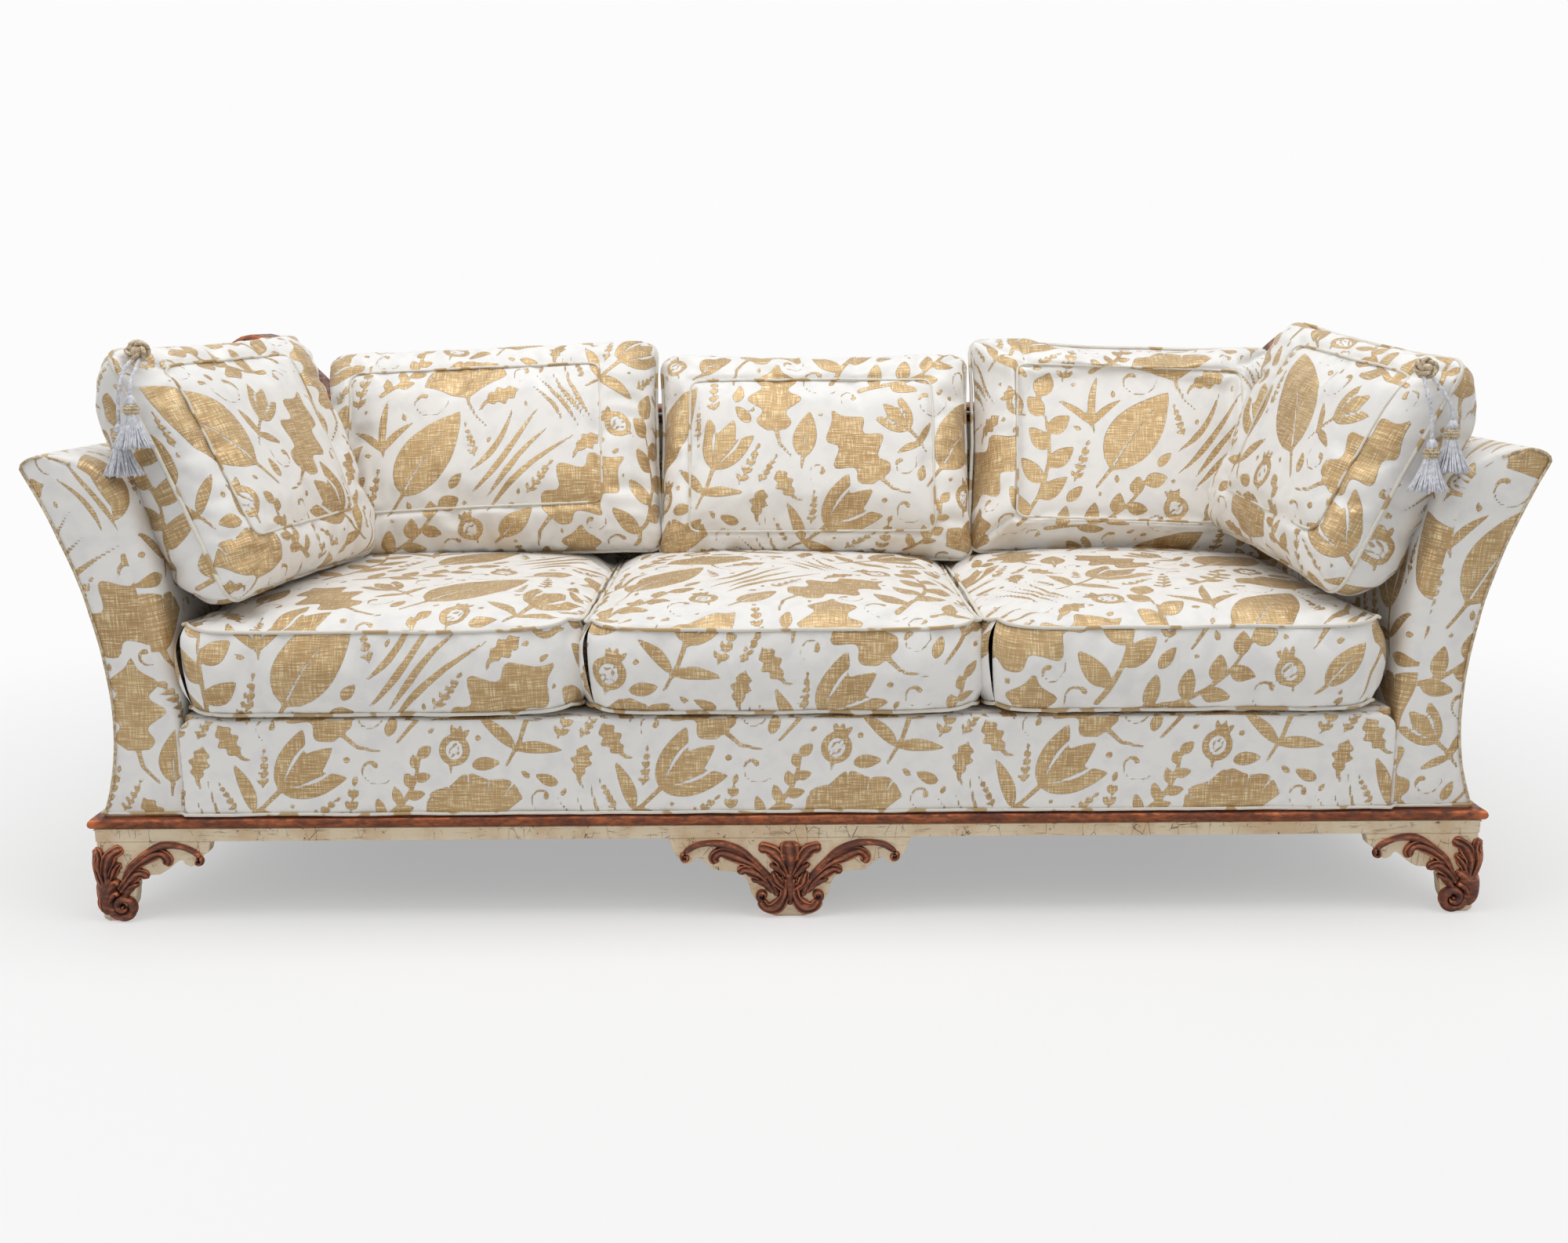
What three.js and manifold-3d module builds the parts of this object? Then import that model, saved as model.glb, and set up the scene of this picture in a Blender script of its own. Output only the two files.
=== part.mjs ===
// Three-seat cabriole sofa with swept-out arms, a painted plinth on scrolled bracket feet,
// carved leaf-work, three boxed seat cushions, three back cushions and two tasselled side cushions.
// Millimetres, +Z up, the front faces -Y, origin on the floor below the middle of the sofa.
import * as THREE from "three";
import { mergeVertices } from "three/addons/utils/BufferGeometryUtils.js";
import Module from "manifold-3d";

const wasm = await Module();
wasm.setup();

// Driving dimensions
const WAIST_SPAN = 2122;
const OVERALL_DEPTH = 920;
const CLEARANCE = 0.3;
const OVERRUN = 5;

const PLINTH = { overhang: 41, railHeight: 22, railThickness: 30, bead: 1.6, beadHeight: 4 };
const MOULDING = { height: 17, proud: 8, depth: 26 };
const FOOT = { height: 133, reach: 182, thickness: 26 };
const DROP = { reach: 194, blockDepth: 70 };
const CARVING = { proud: 12, leafHalfWidth: 10, voluteRadius: 17, smallVoluteRadius: 9 };

const ARM = {
  tipFlare: 104,
  baseFlare: 31,
  waistHeight: 340,
  tipHeight: 724,
  topHeight: 746,
  rollHeight: 660,
  thickness: 102,
  swell: 24,
  nose: 40,
  panel: 12,
  pad: 38,
  facing: 14,
  facingSetBack: 10,
  panelTop: 700,
  coreTop: 690,
  topRail: 50,
  postDepth: 46,
};

const BACK = {
  earHeight: 915,
  earShoulder: 858,
  earWidth: 63,
  earSetIn: 37,
  sweepRun: 245,
  lowHeight: 768,
  crestHeight: 30,
  crestProud: 3,
  panel: 12,
  frame: 45,
  pad: 53,
  postWidth: 60,
  railHeight: 60,
  cordDiameter: 7,
};

const SEAT_FRAME = { railTop: 300, railThickness: 32, stretcherThickness: 34, stretcherHeight: 50 };
const WEBBING = { width: 50, thickness: 3, lengthwise: 4, crosswise: 9 };
const DECK = { top: 333 };
const BORDER = { top: 332, thickness: 24.4, cornerRadius: 30 };
const DUST_COVER = { thickness: 2 };

const SEAT_CUSHION = {
  slack: 33.4,
  gap: 3,
  shift: -9,
  frontOverhang: 6,
  thickness: 156,
  crown: 30,
  drawIn: 7,
  cornerRadius: 55,
};
const BACK_CUSHION = { narrower: 34, gap: 7.5, shift: 58, thickness: 186, drawIn: 5, cornerRadius: 75 };
const SIDE_CUSHION = {
  length: 486,
  thickness: 172,
  drawIn: 8,
  cornerRadius: 75,
};
const SIDE_LOBE_SHARE = 0.55;

// How the loose cushions differ from each other
const BACK_HEIGHTS = { left: 394, middle: 384, right: 404 };
const SIDE_SET = {
  left: { setBack: 25, height: 426, knotAcross: 42, knotDrop: 26 },
  right: { setBack: 20, height: 402, knotAcross: -50, knotDrop: 43 },
};

// How everything leans, turns and dips
const BACK_RAKE_DEGREES = 5;
const BACK_LEAN_DEGREES = 23;
const BACK_TILT_DEGREES = { left: 2.5, middle: 0, right: -2.2 };
const SIDE_LEAN_DEGREES = 20.5;
const SIDE_YAW_DEGREES = { left: -12, right: 10 };
const SIDE_PITCH_DEGREES = { left: 0.5, right: 6 };

const TASSEL = { cordDiameter: 6, headRadius: 8, headHeight: 15, bandHeight: 11, skirtRadius: 19, skirtHeight: 48 };
const KNOT = { radius: 14, height: 19.6 };

// Routes of the tassel cords, from the middle of the knot down to the head of each tassel
const TASSEL_CORDS = {
  left: {
    front: [[4, -5, -10.9], [5, -22, -24], [5, -38, -36], [5, -50, -50], [5, -54, -64]],
    rear: [[-5, -5, -10.2], [-12, -20, -24], [-17, -32, -46], [-21, -37, -78], [-22, -38, -107]],
  },
  right: {
    front: [[-5, -5, -9.9], [-5, -16, -25], [-2, -26, -45], [2, -30, -73], [5, -31, -105]],
    rear: [[5, -5, -9.6], [15, -11, -23], [26, -16, -39], [35, -19, -57], [39, -20, -77]],
  },
};
const SEATING_STRIDE = 16;

const CURVE_STEPS = 16;
const ARC_STEPS = 8;
const CREST_STEPS = 12;
const TUBE_SIDES = 8;
const LATHE_SIDES = 12;

// Levels and planes that follow from the driving dimensions
const HALF_DEPTH = OVERALL_DEPTH / 2;
const FACE_Y = CARVING.proud - HALF_DEPTH;
const RAIL_BOTTOM = FOOT.height + CLEARANCE;
const MOULDING_BOTTOM = RAIL_BOTTOM + PLINTH.railHeight + CLEARANCE;
const PLINTH_TOP = MOULDING_BOTTOM + MOULDING.height;
const REAR_RAIL_HEIGHT = PLINTH_TOP - RAIL_BOTTOM;
const BODY_BOTTOM = PLINTH_TOP + CLEARANCE;
const RAKE = Math.tan(THREE.MathUtils.degToRad(BACK_RAKE_DEGREES));
const HALF_LENGTH = WAIST_SPAN / 2 + PLINTH.overhang;
const TIP_X = WAIST_SPAN / 2 + ARM.tipFlare;
const FACING_FRONT = FACE_Y + ARM.facingSetBack;
const FACING_BACK = FACING_FRONT + ARM.facing;
const FRAME_FRONT = FACING_BACK + CLEARANCE;
const WEBBING_TOP = SEAT_FRAME.railTop + CLEARANCE + WEBBING.thickness;
const DECK_BOTTOM = WEBBING_TOP + CLEARANCE;
const BACK_THICKNESS = BACK.panel + BACK.frame + BACK.pad + 2 * CLEARANCE;

const rearFace = (z) => HALF_DEPTH - BACK.crestProud - (BACK.earHeight - z) * RAKE;
const backFront = (z) => rearFace(z) - BACK_THICKNESS;
const frameRear = (z) => rearFace(z) - BACK.panel - CLEARANCE;
const frameFront = (z) => frameRear(z) - BACK.frame;
const PLINTH_REAR = rearFace(PLINTH_TOP);

// Materials
const finish = (color, roughness, metalness = 0) => new THREE.MeshStandardMaterial({ color, roughness, metalness });
const BROCADE = finish(0xe6ddca, 0.6);
const PAINTED_WOOD = finish(0xc9bd9b, 0.55);
const COPPER_LEAF = finish(0x8a4a2a, 0.4, 0.6);
const BEECH = finish(0xb98d5c, 0.7);
const JUTE = finish(0xa8905f, 0.9);
const CAMBRIC = finish(0x2b2927, 0.9);
const SILVER_CORD = finish(0xb9bccb, 0.5, 0.1);
const GOLD_BRAID = finish(0xc9ad7e, 0.5, 0.2);

const sofa = new THREE.Group();

function addMesh(name, geometry, material, parent = sofa) {
  const mesh = new THREE.Mesh(geometry, material);
  mesh.name = name;
  parent.add(mesh);
  return mesh;
}

// Solids

function toSolid(geometry) {
  const bare = geometry.clone();
  bare.deleteAttribute("normal");
  bare.deleteAttribute("uv");
  const merged = mergeVertices(bare, CLEARANCE / 1000);
  const vertProperties = new Float32Array(merged.attributes.position.array);
  const triVerts = new Uint32Array(merged.index.array);
  return new wasm.Manifold(new wasm.Mesh({ numProp: 3, vertProperties, triVerts }));
}

function toGeometry(solid) {
  const mesh = solid.getMesh();
  const geometry = new THREE.BufferGeometry();
  geometry.setAttribute("position", new THREE.BufferAttribute(new Float32Array(mesh.vertProperties), 3));
  geometry.setIndex(new THREE.BufferAttribute(new Uint32Array(mesh.triVerts), 1));
  return geometry;
}

// Slivers left where the pieces meet are closed up.
function joined(geometries) {
  const whole = geometries.map(toSolid).reduce((sum, piece) => sum.add(piece));
  return toGeometry(whole.simplify(CLEARANCE / 10));
}

function box(low, high) {
  const size = high.map((value, i) => value - low[i]);
  const geometry = new THREE.BoxGeometry(...size);
  return geometry.translate(...high.map((value, i) => (value + low[i]) / 2));
}

// An outline of [x, z] points drawn out along Y; each end may slope with x and z.
function prism(outline, startY, endY) {
  const start = typeof startY === "function" ? startY : () => startY;
  const end = typeof endY === "function" ? endY : () => endY;
  const flat = outline.map(toVector2);
  if (THREE.ShapeUtils.isClockWise(flat)) flat.reverse();
  const count = flat.length;
  const positions = [start, end].flatMap((place) => flat.flatMap((p) => [p.x, place(p.x, p.y), p.y]));
  const faces = THREE.ShapeUtils.triangulateShape(flat, []);
  const index = faces.flatMap(([a, b, c]) => [a, b, c, count + a, count + c, count + b]);
  for (let i = 0; i < count; i++) {
    const j = (i + 1) % count;
    index.push(i, count + j, j, i, count + i, count + j);
  }
  const geometry = new THREE.BufferGeometry();
  geometry.setAttribute("position", new THREE.Float32BufferAttribute(positions, 3));
  geometry.setIndex(index);
  return geometry;
}

// Rings of equal length, each an array of Vector3, closed by fans at both ends.
function skinned(rings) {
  const size = rings[0].length;
  const centre = (ring) => ring.reduce((sum, p) => sum.add(p), new THREE.Vector3()).divideScalar(size);
  const points = [...rings.flat(), centre(rings[0]), centre(rings.at(-1))];
  const index = [];
  const last = (rings.length - 1) * size;
  for (let i = 0; i < size; i++) {
    const j = (i + 1) % size;
    for (let ring = 0; ring < last; ring += size) {
      index.push(ring + i, ring + j, ring + size + j, ring + i, ring + size + j, ring + size + i);
    }
    index.push(points.length - 2, j, i, points.length - 1, last + i, last + j);
  }
  const geometry = new THREE.BufferGeometry().setFromPoints(points);
  geometry.setIndex(index);
  return geometry;
}

const steps = (count, from, to) => Array.from({ length: count + 1 }, (_, i) => from + ((to - from) * i) / count);
const toVector2 = ([x, y]) => new THREE.Vector2(x, y);
const mirrored = (outline) => outline.map(([x, z]) => [-x, z]);

// Plinth: mitred rails, each with its profile of [distance out from the plinth face, height]

function mitredBar(profile, length) {
  const reach = (d) => length / 2 + d - CLEARANCE;
  return prism(profile, (d) => -reach(d), reach);
}

function plinthRailProfile(top) {
  const { railThickness, bead, beadHeight } = PLINTH;
  const low = top - beadHeight;
  return [
    [-railThickness, 0],
    [0, 0],
    [0, low],
    [bead, low + beadHeight / 3],
    [bead, top - beadHeight / 3],
    [0, top],
    [-railThickness, top],
  ];
}

function mouldingProfile() {
  const half = MOULDING.height / 2;
  const round = steps(ARC_STEPS, -Math.PI / 2, Math.PI / 2).map((a) => [
    MOULDING.proud * Math.cos(a),
    half + half * Math.sin(a),
  ]);
  return [[-MOULDING.depth, 0], ...round, [-MOULDING.depth, MOULDING.height]];
}

// The back is plain: there the rail rises to the full height and carries no gilt moulding.
function addPlinth() {
  const middleY = (FACE_Y + PLINTH_REAR) / 2;
  const depth = PLINTH_REAR - FACE_Y;
  const rail = plinthRailProfile(PLINTH.railHeight);
  const moulding = mouldingProfile();
  const sides = [
    { side: "front", length: 2 * HALF_LENGTH, x: 0, y: FACE_Y, turn: -Math.PI / 2 },
    { side: "right", length: depth, x: HALF_LENGTH, y: middleY, turn: 0 },
    { side: "left", length: depth, x: -HALF_LENGTH, y: middleY, turn: Math.PI },
  ];
  const place = (mesh, { x, y, turn }, bottom) => {
    mesh.position.set(x, y, bottom);
    mesh.rotation.z = turn;
  };
  for (const side of sides) {
    place(addMesh(`plinth_rail_${side.side}`, mitredBar(rail, side.length), PAINTED_WOOD), side, RAIL_BOTTOM);
    const gilt = addMesh(`gilt_moulding_${side.side}`, mitredBar(moulding, side.length), COPPER_LEAF);
    place(gilt, side, MOULDING_BOTTOM);
  }
  const rear = { x: 0, y: PLINTH_REAR, turn: Math.PI / 2 };
  const rearRail = mitredBar(plinthRailProfile(REAR_RAIL_HEIGHT), 2 * HALF_LENGTH);
  place(addMesh("plinth_rail_rear", rearRail, PAINTED_WOOD), rear, RAIL_BOTTOM);
}

// Bracket feet: outline shares of [foot reach inwards from the corner, foot height]

const BRACKET_SHARES = {
  toe: 0.17,
  heel: 0.04,
  ankle: [[0.24, 0.09], [0.29, 0.22], [0.315, 0.42]],
  arch: [[0.32, 0.51], [0.39, 0.565], [0.53, 0.58], [0.61, 0.645], [0.7, 0.75]],
  tail: [[0.9, 0.8], [0.97, 0.86], [1, 1]],
  voluteCentre: [0.81, 0.77],
  voluteRadius: 0.07,
};

const DROP_SHARES = {
  toe: 0.13,
  ankle: [[0.22, 0.08], [0.28, 0.2], [0.325, 0.3]],
  arch: [[0.335, 0.4], [0.37, 0.5], [0.45, 0.565], [0.62, 0.585], [0.7, 0.69]],
  tail: [[0.93, 0.75], [0.965, 0.86], [1, 1]],
  voluteCentre: [0.845, 0.76],
  voluteRadius: 0.07,
};

// The scrolled underside: a smooth arch, a small round volute and a stepped tail.
function scrollEdge(shares, reach, height) {
  const point = ([u, z]) => [u * reach, z * height];
  const [cu, cz] = point(shares.voluteCentre);
  const radius = shares.voluteRadius * reach;
  const volute = steps(ARC_STEPS / 2, Math.PI, 2 * Math.PI).map((a) => [
    cu + radius * Math.cos(a),
    cz + radius * Math.sin(a),
  ]);
  return [...shares.arch.map(point), ...volute, ...shares.tail.map(point)];
}

function bracketOutline() {
  const { toe, heel, ankle } = BRACKET_SHARES;
  return [
    [0, heel * FOOT.height],
    [heel * FOOT.reach, 0],
    [toe * FOOT.reach, 0],
    ...ankle.map(([u, z]) => [u * FOOT.reach, z * FOOT.height]),
    ...scrollEdge(BRACKET_SHARES, FOOT.reach, FOOT.height),
    [0, FOOT.height],
  ];
}

function cornerFoot() {
  const outline = bracketOutline();
  const front = prism(outline, 0, FOOT.thickness);
  const side = prism(outline, 0, FOOT.thickness).rotateZ(Math.PI / 2).translate(FOOT.thickness, 0, 0);
  const toe = BRACKET_SHARES.toe * FOOT.reach;
  const glueBlock = box([FOOT.thickness / 2, FOOT.thickness / 2, 0], [toe, toe, FOOT.height]);
  return joined([front, side, glueBlock]);
}

function dropFoot() {
  const { toe, ankle } = DROP_SHARES;
  const half = [
    [toe * DROP.reach, 0],
    ...ankle.map(([u, z]) => [u * DROP.reach, z * FOOT.height]),
    ...scrollEdge(DROP_SHARES, DROP.reach, FOOT.height),
  ];
  const board = prism([...half, ...mirrored(half).reverse()], 0, FOOT.thickness);
  const blockHalf = toe * DROP.reach;
  return joined([board, box([-blockHalf, 0, 0], [blockHalf, DROP.blockDepth, FOOT.height])]);
}

// Leaf carving: every blade follows a route of shares of [reach, foot height], with its half
// width at root, belly and tip as shares of the leaf's, its rise as shares of the carving's,
// and a crease that sinks its middle.

const STEM_SHARES = { widths: [0.8, 0.7, 0.38], rises: [0.8, 0.85, 0.55], crease: 1 };
const LEAF_SHARES = { widths: [0.45, 1, 0.3], rises: [0.7, 0.95, 0.45], crease: 0.6 };

const FOOT_LEAF_SHARES = [
  { ...STEM_SHARES, route: [[0.15, 0.09], [0.0, 0.15], [-0.02, 0.36], [0.0, 0.55]], widths: [0.7, 0.9, 0.9] },
  { ...LEAF_SHARES, route: [[0.01, 0.4], [-0.01, 0.66], [-0.045, 0.92]] },
  { ...LEAF_SHARES, route: [[0.03, 0.38], [0.08, 0.68], [0.19, 0.92]], widths: [0.5, 1.15, 0.4] },
  { ...STEM_SHARES, route: [[0.06, 0.28], [0.14, 0.54], [0.26, 0.78], [0.46, 0.93], [0.69, 0.93], [0.85, 0.83]] },
  { ...LEAF_SHARES, route: [[0.12, 0.44], [0.27, 0.7], [0.45, 0.82], [0.57, 0.69]], widths: [0.4, 0.85, 0.5] },
  { ...LEAF_SHARES, route: [[0.1, 0.34], [0.22, 0.54], [0.37, 0.57]], widths: [0.5, 0.95, 0.35] },
];
const FOOT_VOLUTE_SHARES = { large: [0.15, 0.2], small: [0.835, 0.765] };

const DROP_LEAF_SHARES = [
  { ...STEM_SHARES, route: [[0.05, 0.24], [0.12, 0.5], [0.22, 0.69], [0.33, 0.85], [0.5, 0.94], [0.69, 0.92], [0.84, 0.83]] },
  { ...LEAF_SHARES, route: [[0.17, 0.58], [0.36, 0.75], [0.51, 0.81], [0.59, 0.7]], widths: [0.4, 0.85, 0.5] },
  { ...LEAF_SHARES, route: [[0.11, 0.42], [0.25, 0.6], [0.4, 0.63]], widths: [0.5, 0.95, 0.35] },
  { ...STEM_SHARES, route: [[0.01, 0.56], [0.07, 0.32], [0.14, 0.16], [0.22, 0.17], [0.26, 0.27]], widths: [0.7, 0.75, 0.45] },
  { ...LEAF_SHARES, route: [[0.0, 0.24], [0.07, 0.42], [0.15, 0.6]], widths: [0.4, 0.85, 0.35] },
  { ...LEAF_SHARES, route: [[0.0, 0.54], [0.12, 0.77], [0.24, 0.9]], widths: [0.4, 1, 0.5] },
];
const DROP_VOLUTE_SHARES = [0.838, 0.77];
const DROP_SPINE_SHARES = [
  { ...STEM_SHARES, route: [[0, 0.12], [0, 0.36], [0, 0.6]], widths: [0.4, 0.8, 0.7] },
  { ...LEAF_SHARES, route: [[0, 0.5], [0, 0.75], [0, 0.95]], widths: [0.45, 0.95, 1.25], rises: [0.8, 1, 0.8] },
];

const BLADE_STEPS = 6;
const VOLUTE_STEPS = 10;
const VOLUTE_TURN_SHARE = 0.92;
const VOLUTE_EYE_SHARE = 0.36;
const VOLUTE_WIDTH_SHARE = 0.21;
const LARGE_VOLUTE_ANGLE = -Math.PI / 2;
const SMALL_VOLUTE_ANGLE = 0.68 * Math.PI;
const SHOULDER_SHARES = { across: 0.62, up: 0.8 };

const throughThree = ([root, belly, tip], t) => {
  const low = root * (1 - t) * (1 - 2 * t);
  const high = tip * t * (2 * t - 1);
  return low + 4 * belly * t * (1 - t) + high;
};

// A carved blade on the plane y = 0, standing out towards -Y.
function blade(points, halfWidthAt, riseAt, crease) {
  const rings = points.map((p, i) => {
    const ahead = points[Math.min(i + 1, points.length - 1)];
    const behind = points[Math.max(i - 1, 0)];
    const along = new THREE.Vector2().subVectors(ahead, behind).normalize();
    const t = i / (points.length - 1);
    const half = halfWidthAt(t);
    const rise = riseAt(t);
    const { across, up } = SHOULDER_SHARES;
    const section = [[-1, 0], [-across, up], [0, crease], [across, up], [1, 0]];
    return section.map(
      ([side, height]) => new THREE.Vector3(p.x - along.y * side * half, -CLEARANCE - height * rise, p.y + along.x * side * half),
    );
  });
  return flipped(skinned(rings));
}

function leafBlade({ route, widths, rises, crease }, reach) {
  const curve = new THREE.SplineCurve(route.map(([u, z]) => new THREE.Vector2(u * reach, z * FOOT.height)));
  const relief = CARVING.proud - CLEARANCE;
  return blade(
    curve.getPoints(BLADE_STEPS),
    (t) => CARVING.leafHalfWidth * throughThree(widths, t),
    (t) => relief * throughThree(rises, t),
    crease,
  );
}

// A volute that winds in to its eye, its rise growing to the full relief of the carving.
function volute([u, z], reach, radius, startAngle, hand) {
  const points = steps(VOLUTE_STEPS, 0, 1).map((t) => {
    const angle = startAngle + hand * t * VOLUTE_TURN_SHARE * 2 * Math.PI;
    const r = radius * (1 - (1 - VOLUTE_EYE_SHARE) * t) * (1 - SHOULDER_SHARES.across / 2);
    return new THREE.Vector2(u * reach + r * Math.cos(angle), z * FOOT.height + r * Math.sin(angle));
  });
  const relief = CARVING.proud - CLEARANCE;
  const halfWidth = radius * VOLUTE_WIDTH_SHARE;
  return blade(points, () => halfWidth, (t) => relief * (SHOULDER_SHARES.up + (1 - SHOULDER_SHARES.up) * t), 1);
}

// The same geometry seen in the mirror plane x = y, with its faces turned back outwards.
function swappedAcross(geometry) {
  const swap = new THREE.Matrix4().set(0, 1, 0, 0, 1, 0, 0, 0, 0, 0, 1, 0, 0, 0, 0, 1);
  return flipped(geometry.clone().applyMatrix4(swap));
}

function flipped(geometry) {
  const index = geometry.index.array;
  for (let i = 0; i < index.length; i += 3) [index[i + 1], index[i + 2]] = [index[i + 2], index[i + 1]];
  return geometry;
}

function cornerCarving() {
  const face = [
    ...FOOT_LEAF_SHARES.map((leaf) => leafBlade(leaf, FOOT.reach)),
    volute(FOOT_VOLUTE_SHARES.large, FOOT.reach, CARVING.voluteRadius, LARGE_VOLUTE_ANGLE, 1),
    volute(FOOT_VOLUTE_SHARES.small, FOOT.reach, CARVING.smallVoluteRadius, SMALL_VOLUTE_ANGLE, -1),
  ];
  return joined([...face, ...face.map(swappedAcross)]);
}

function dropCarving() {
  const half = [
    ...DROP_LEAF_SHARES.map((leaf) => leafBlade(leaf, DROP.reach)),
    volute(DROP_VOLUTE_SHARES, DROP.reach, CARVING.smallVoluteRadius, SMALL_VOLUTE_ANGLE, -1),
  ];
  const other = half.map((geometry) => flipped(geometry.clone().scale(-1, 1, 1)));
  return joined([...half, ...other, ...DROP_SPINE_SHARES.map((leaf) => leafBlade(leaf, DROP.reach))]);
}

function addFeet() {
  const corners = [
    { name: "front_left", x: -HALF_LENGTH, y: FACE_Y, turn: 0, carved: true },
    { name: "front_right", x: HALF_LENGTH, y: FACE_Y, turn: Math.PI / 2, carved: true },
    { name: "rear_right", x: HALF_LENGTH, y: PLINTH_REAR, turn: Math.PI, carved: false },
    { name: "rear_left", x: -HALF_LENGTH, y: PLINTH_REAR, turn: -Math.PI / 2, carved: false },
  ];
  for (const { name, x, y, turn, carved } of corners) {
    const pieces = [addMesh(`foot_${name}`, cornerFoot(), PAINTED_WOOD)];
    if (carved) pieces.push(addMesh(`carving_${name}`, cornerCarving(), COPPER_LEAF));
    for (const piece of pieces) {
      piece.position.set(x, y, 0);
      piece.rotation.z = turn;
    }
  }
  addMesh("foot_front_centre", dropFoot(), PAINTED_WOOD).position.y = FACE_Y;
  addMesh("carving_front_centre", dropCarving(), COPPER_LEAF).position.y = FACE_Y;
}

// Arms: one section in X and Z, right-hand side, swept from front to back

function armOuter(z) {
  const waist = WAIST_SPAN / 2;
  if (z < ARM.waistHeight) {
    const share = (ARM.waistHeight - z) / (ARM.waistHeight - BODY_BOTTOM);
    return waist + ARM.baseFlare * share ** 2.2;
  }
  const share = (z - ARM.waistHeight) / (ARM.tipHeight - ARM.waistHeight);
  return waist + ARM.tipFlare * share ** 1.9;
}

function armInner(z) {
  const share = Math.max(0, (z - ARM.waistHeight) / (ARM.rollHeight - ARM.waistHeight));
  return armOuter(z) - ARM.thickness - ARM.swell * share ** 2;
}

// Every curve up the arm bends at the same levels, so that neighbouring layers keep their gap.
const ARM_LEVELS = steps(CURVE_STEPS, BODY_BOTTOM, ARM.tipHeight);

function upCurve(edge, low, high) {
  const between = ARM_LEVELS.filter((z) => z > low + OVERRUN && z < high - OVERRUN);
  return [low, ...between, high].map((z) => [edge(z), z]);
}

// The round top of the arm, from its tip over to the start of its inner face.
function armTop() {
  const inner = armInner(ARM.rollHeight);
  const centreX = TIP_X - ARM.nose;
  const nose = steps(ARC_STEPS / 2, 0, Math.PI / 2).map((a) => [
    centreX + ARM.nose * Math.cos(a),
    ARM.tipHeight + (ARM.topHeight - ARM.tipHeight) * Math.sin(a),
  ]);
  const roll = steps(ARC_STEPS, Math.PI / 2, Math.PI).map((a) => [
    centreX + (centreX - inner) * Math.cos(a),
    ARM.rollHeight + (ARM.topHeight - ARM.rollHeight) * Math.sin(a),
  ]);
  return [...nose, ...roll.slice(1)];
}

function armOutline() {
  const rising = upCurve(armOuter, BODY_BOTTOM, ARM.tipHeight).slice(0, -1);
  const falling = upCurve(armInner, BODY_BOTTOM, ARM.rollHeight).slice(0, -1).reverse();
  return [...rising, ...armTop(), ...falling];
}

const panelInner = (z) => armOuter(z) - ARM.panel;
const coreOuter = (z) => panelInner(z) - CLEARANCE;
const coreInner = (z) => armInner(z) + ARM.pad;
const padInner = (z) => coreInner(z) - CLEARANCE;

function armPanelOutline() {
  const outer = upCurve(armOuter, BODY_BOTTOM, ARM.panelTop);
  return [...outer, ...upCurve(panelInner, BODY_BOTTOM, ARM.panelTop).reverse()];
}

function armCoreOutline(low, high) {
  return [...upCurve(coreOuter, low, high), ...upCurve(coreInner, low, high).reverse()];
}

// The inside pad, which wraps over the top rail and down to the outside panel.
function armPadOutline() {
  const overPanel = ARM.panelTop + CLEARANCE;
  const overCore = ARM.coreTop + CLEARANCE;
  return [
    [panelInner(overPanel) - CLEARANCE, overPanel],
    [armOuter(overPanel), overPanel],
    ...armTop(),
    ...upCurve(armInner, DECK_BOTTOM, ARM.rollHeight).slice(0, -1).reverse(),
    ...upCurve(padInner, DECK_BOTTOM, overCore),
    [coreOuter(overCore), overCore],
  ];
}

function addArm(side, hand) {
  const turned = (outline) => (hand < 0 ? mirrored(outline) : outline);
  const backEnd = (_, z) => frameFront(z) - CLEARANCE;
  const postBack = FRAME_FRONT + ARM.postDepth;
  const piece = (name, outline, start, end, material) =>
    addMesh(`arm_${name}_${side}`, prism(turned(outline), start, end), material);
  const panelEnd = (_, z) => rearFace(z) - BACK.panel - CLEARANCE;
  const post = armCoreOutline(BODY_BOTTOM, ARM.coreTop);
  const railLow = ARM.coreTop - ARM.topRail;
  piece("facing", armOutline(), FACING_FRONT, FACING_BACK, BROCADE);
  piece("inside_pad", armPadOutline(), FRAME_FRONT, backEnd, BROCADE);
  piece("outside_panel", armPanelOutline(), FRAME_FRONT, panelEnd, BROCADE);
  piece("front_post", post, FRAME_FRONT, postBack, BEECH);
  piece("top_rail", armCoreOutline(railLow, ARM.coreTop), postBack + CLEARANCE, backEnd, BEECH);
  const sideRail = armCoreOutline(BODY_BOTTOM, SEAT_FRAME.railTop);
  addMesh(`seat_rail_${side}`, prism(turned(sideRail), postBack + CLEARANCE, backEnd), BEECH);
}

// Back: layers that share one outline under a show-wood crest with an ear at each corner

// The top line of the back, right-hand half, from the middle out and down to the arm.
function crestHalf() {
  const rise = BACK.earHeight - BACK.lowHeight;
  const run = BACK.sweepRun;
  const outerX = TIP_X - BACK.earSetIn;
  const earX = outerX - BACK.earWidth;
  const sweep = steps(CREST_STEPS, 0, 1).map((t) => [
    earX - run + run * t,
    BACK.lowHeight + (rise * (1 - Math.cos(Math.PI * t ** 1.35))) / 2,
  ]);
  const height = BACK.earHeight - BACK.earShoulder;
  const ear = steps(ARC_STEPS / 2, Math.PI / 2, 0).map((a) => [
    earX + BACK.earWidth * Math.cos(a),
    BACK.earShoulder + height * Math.sin(a),
  ]);
  const foot = ARM.topHeight + CLEARANCE;
  return [...sweep, ...ear.slice(1), [outerX, foot]];
}

function crestLine() {
  const half = crestHalf();
  return [...mirrored(half).reverse(), ...half];
}

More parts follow.
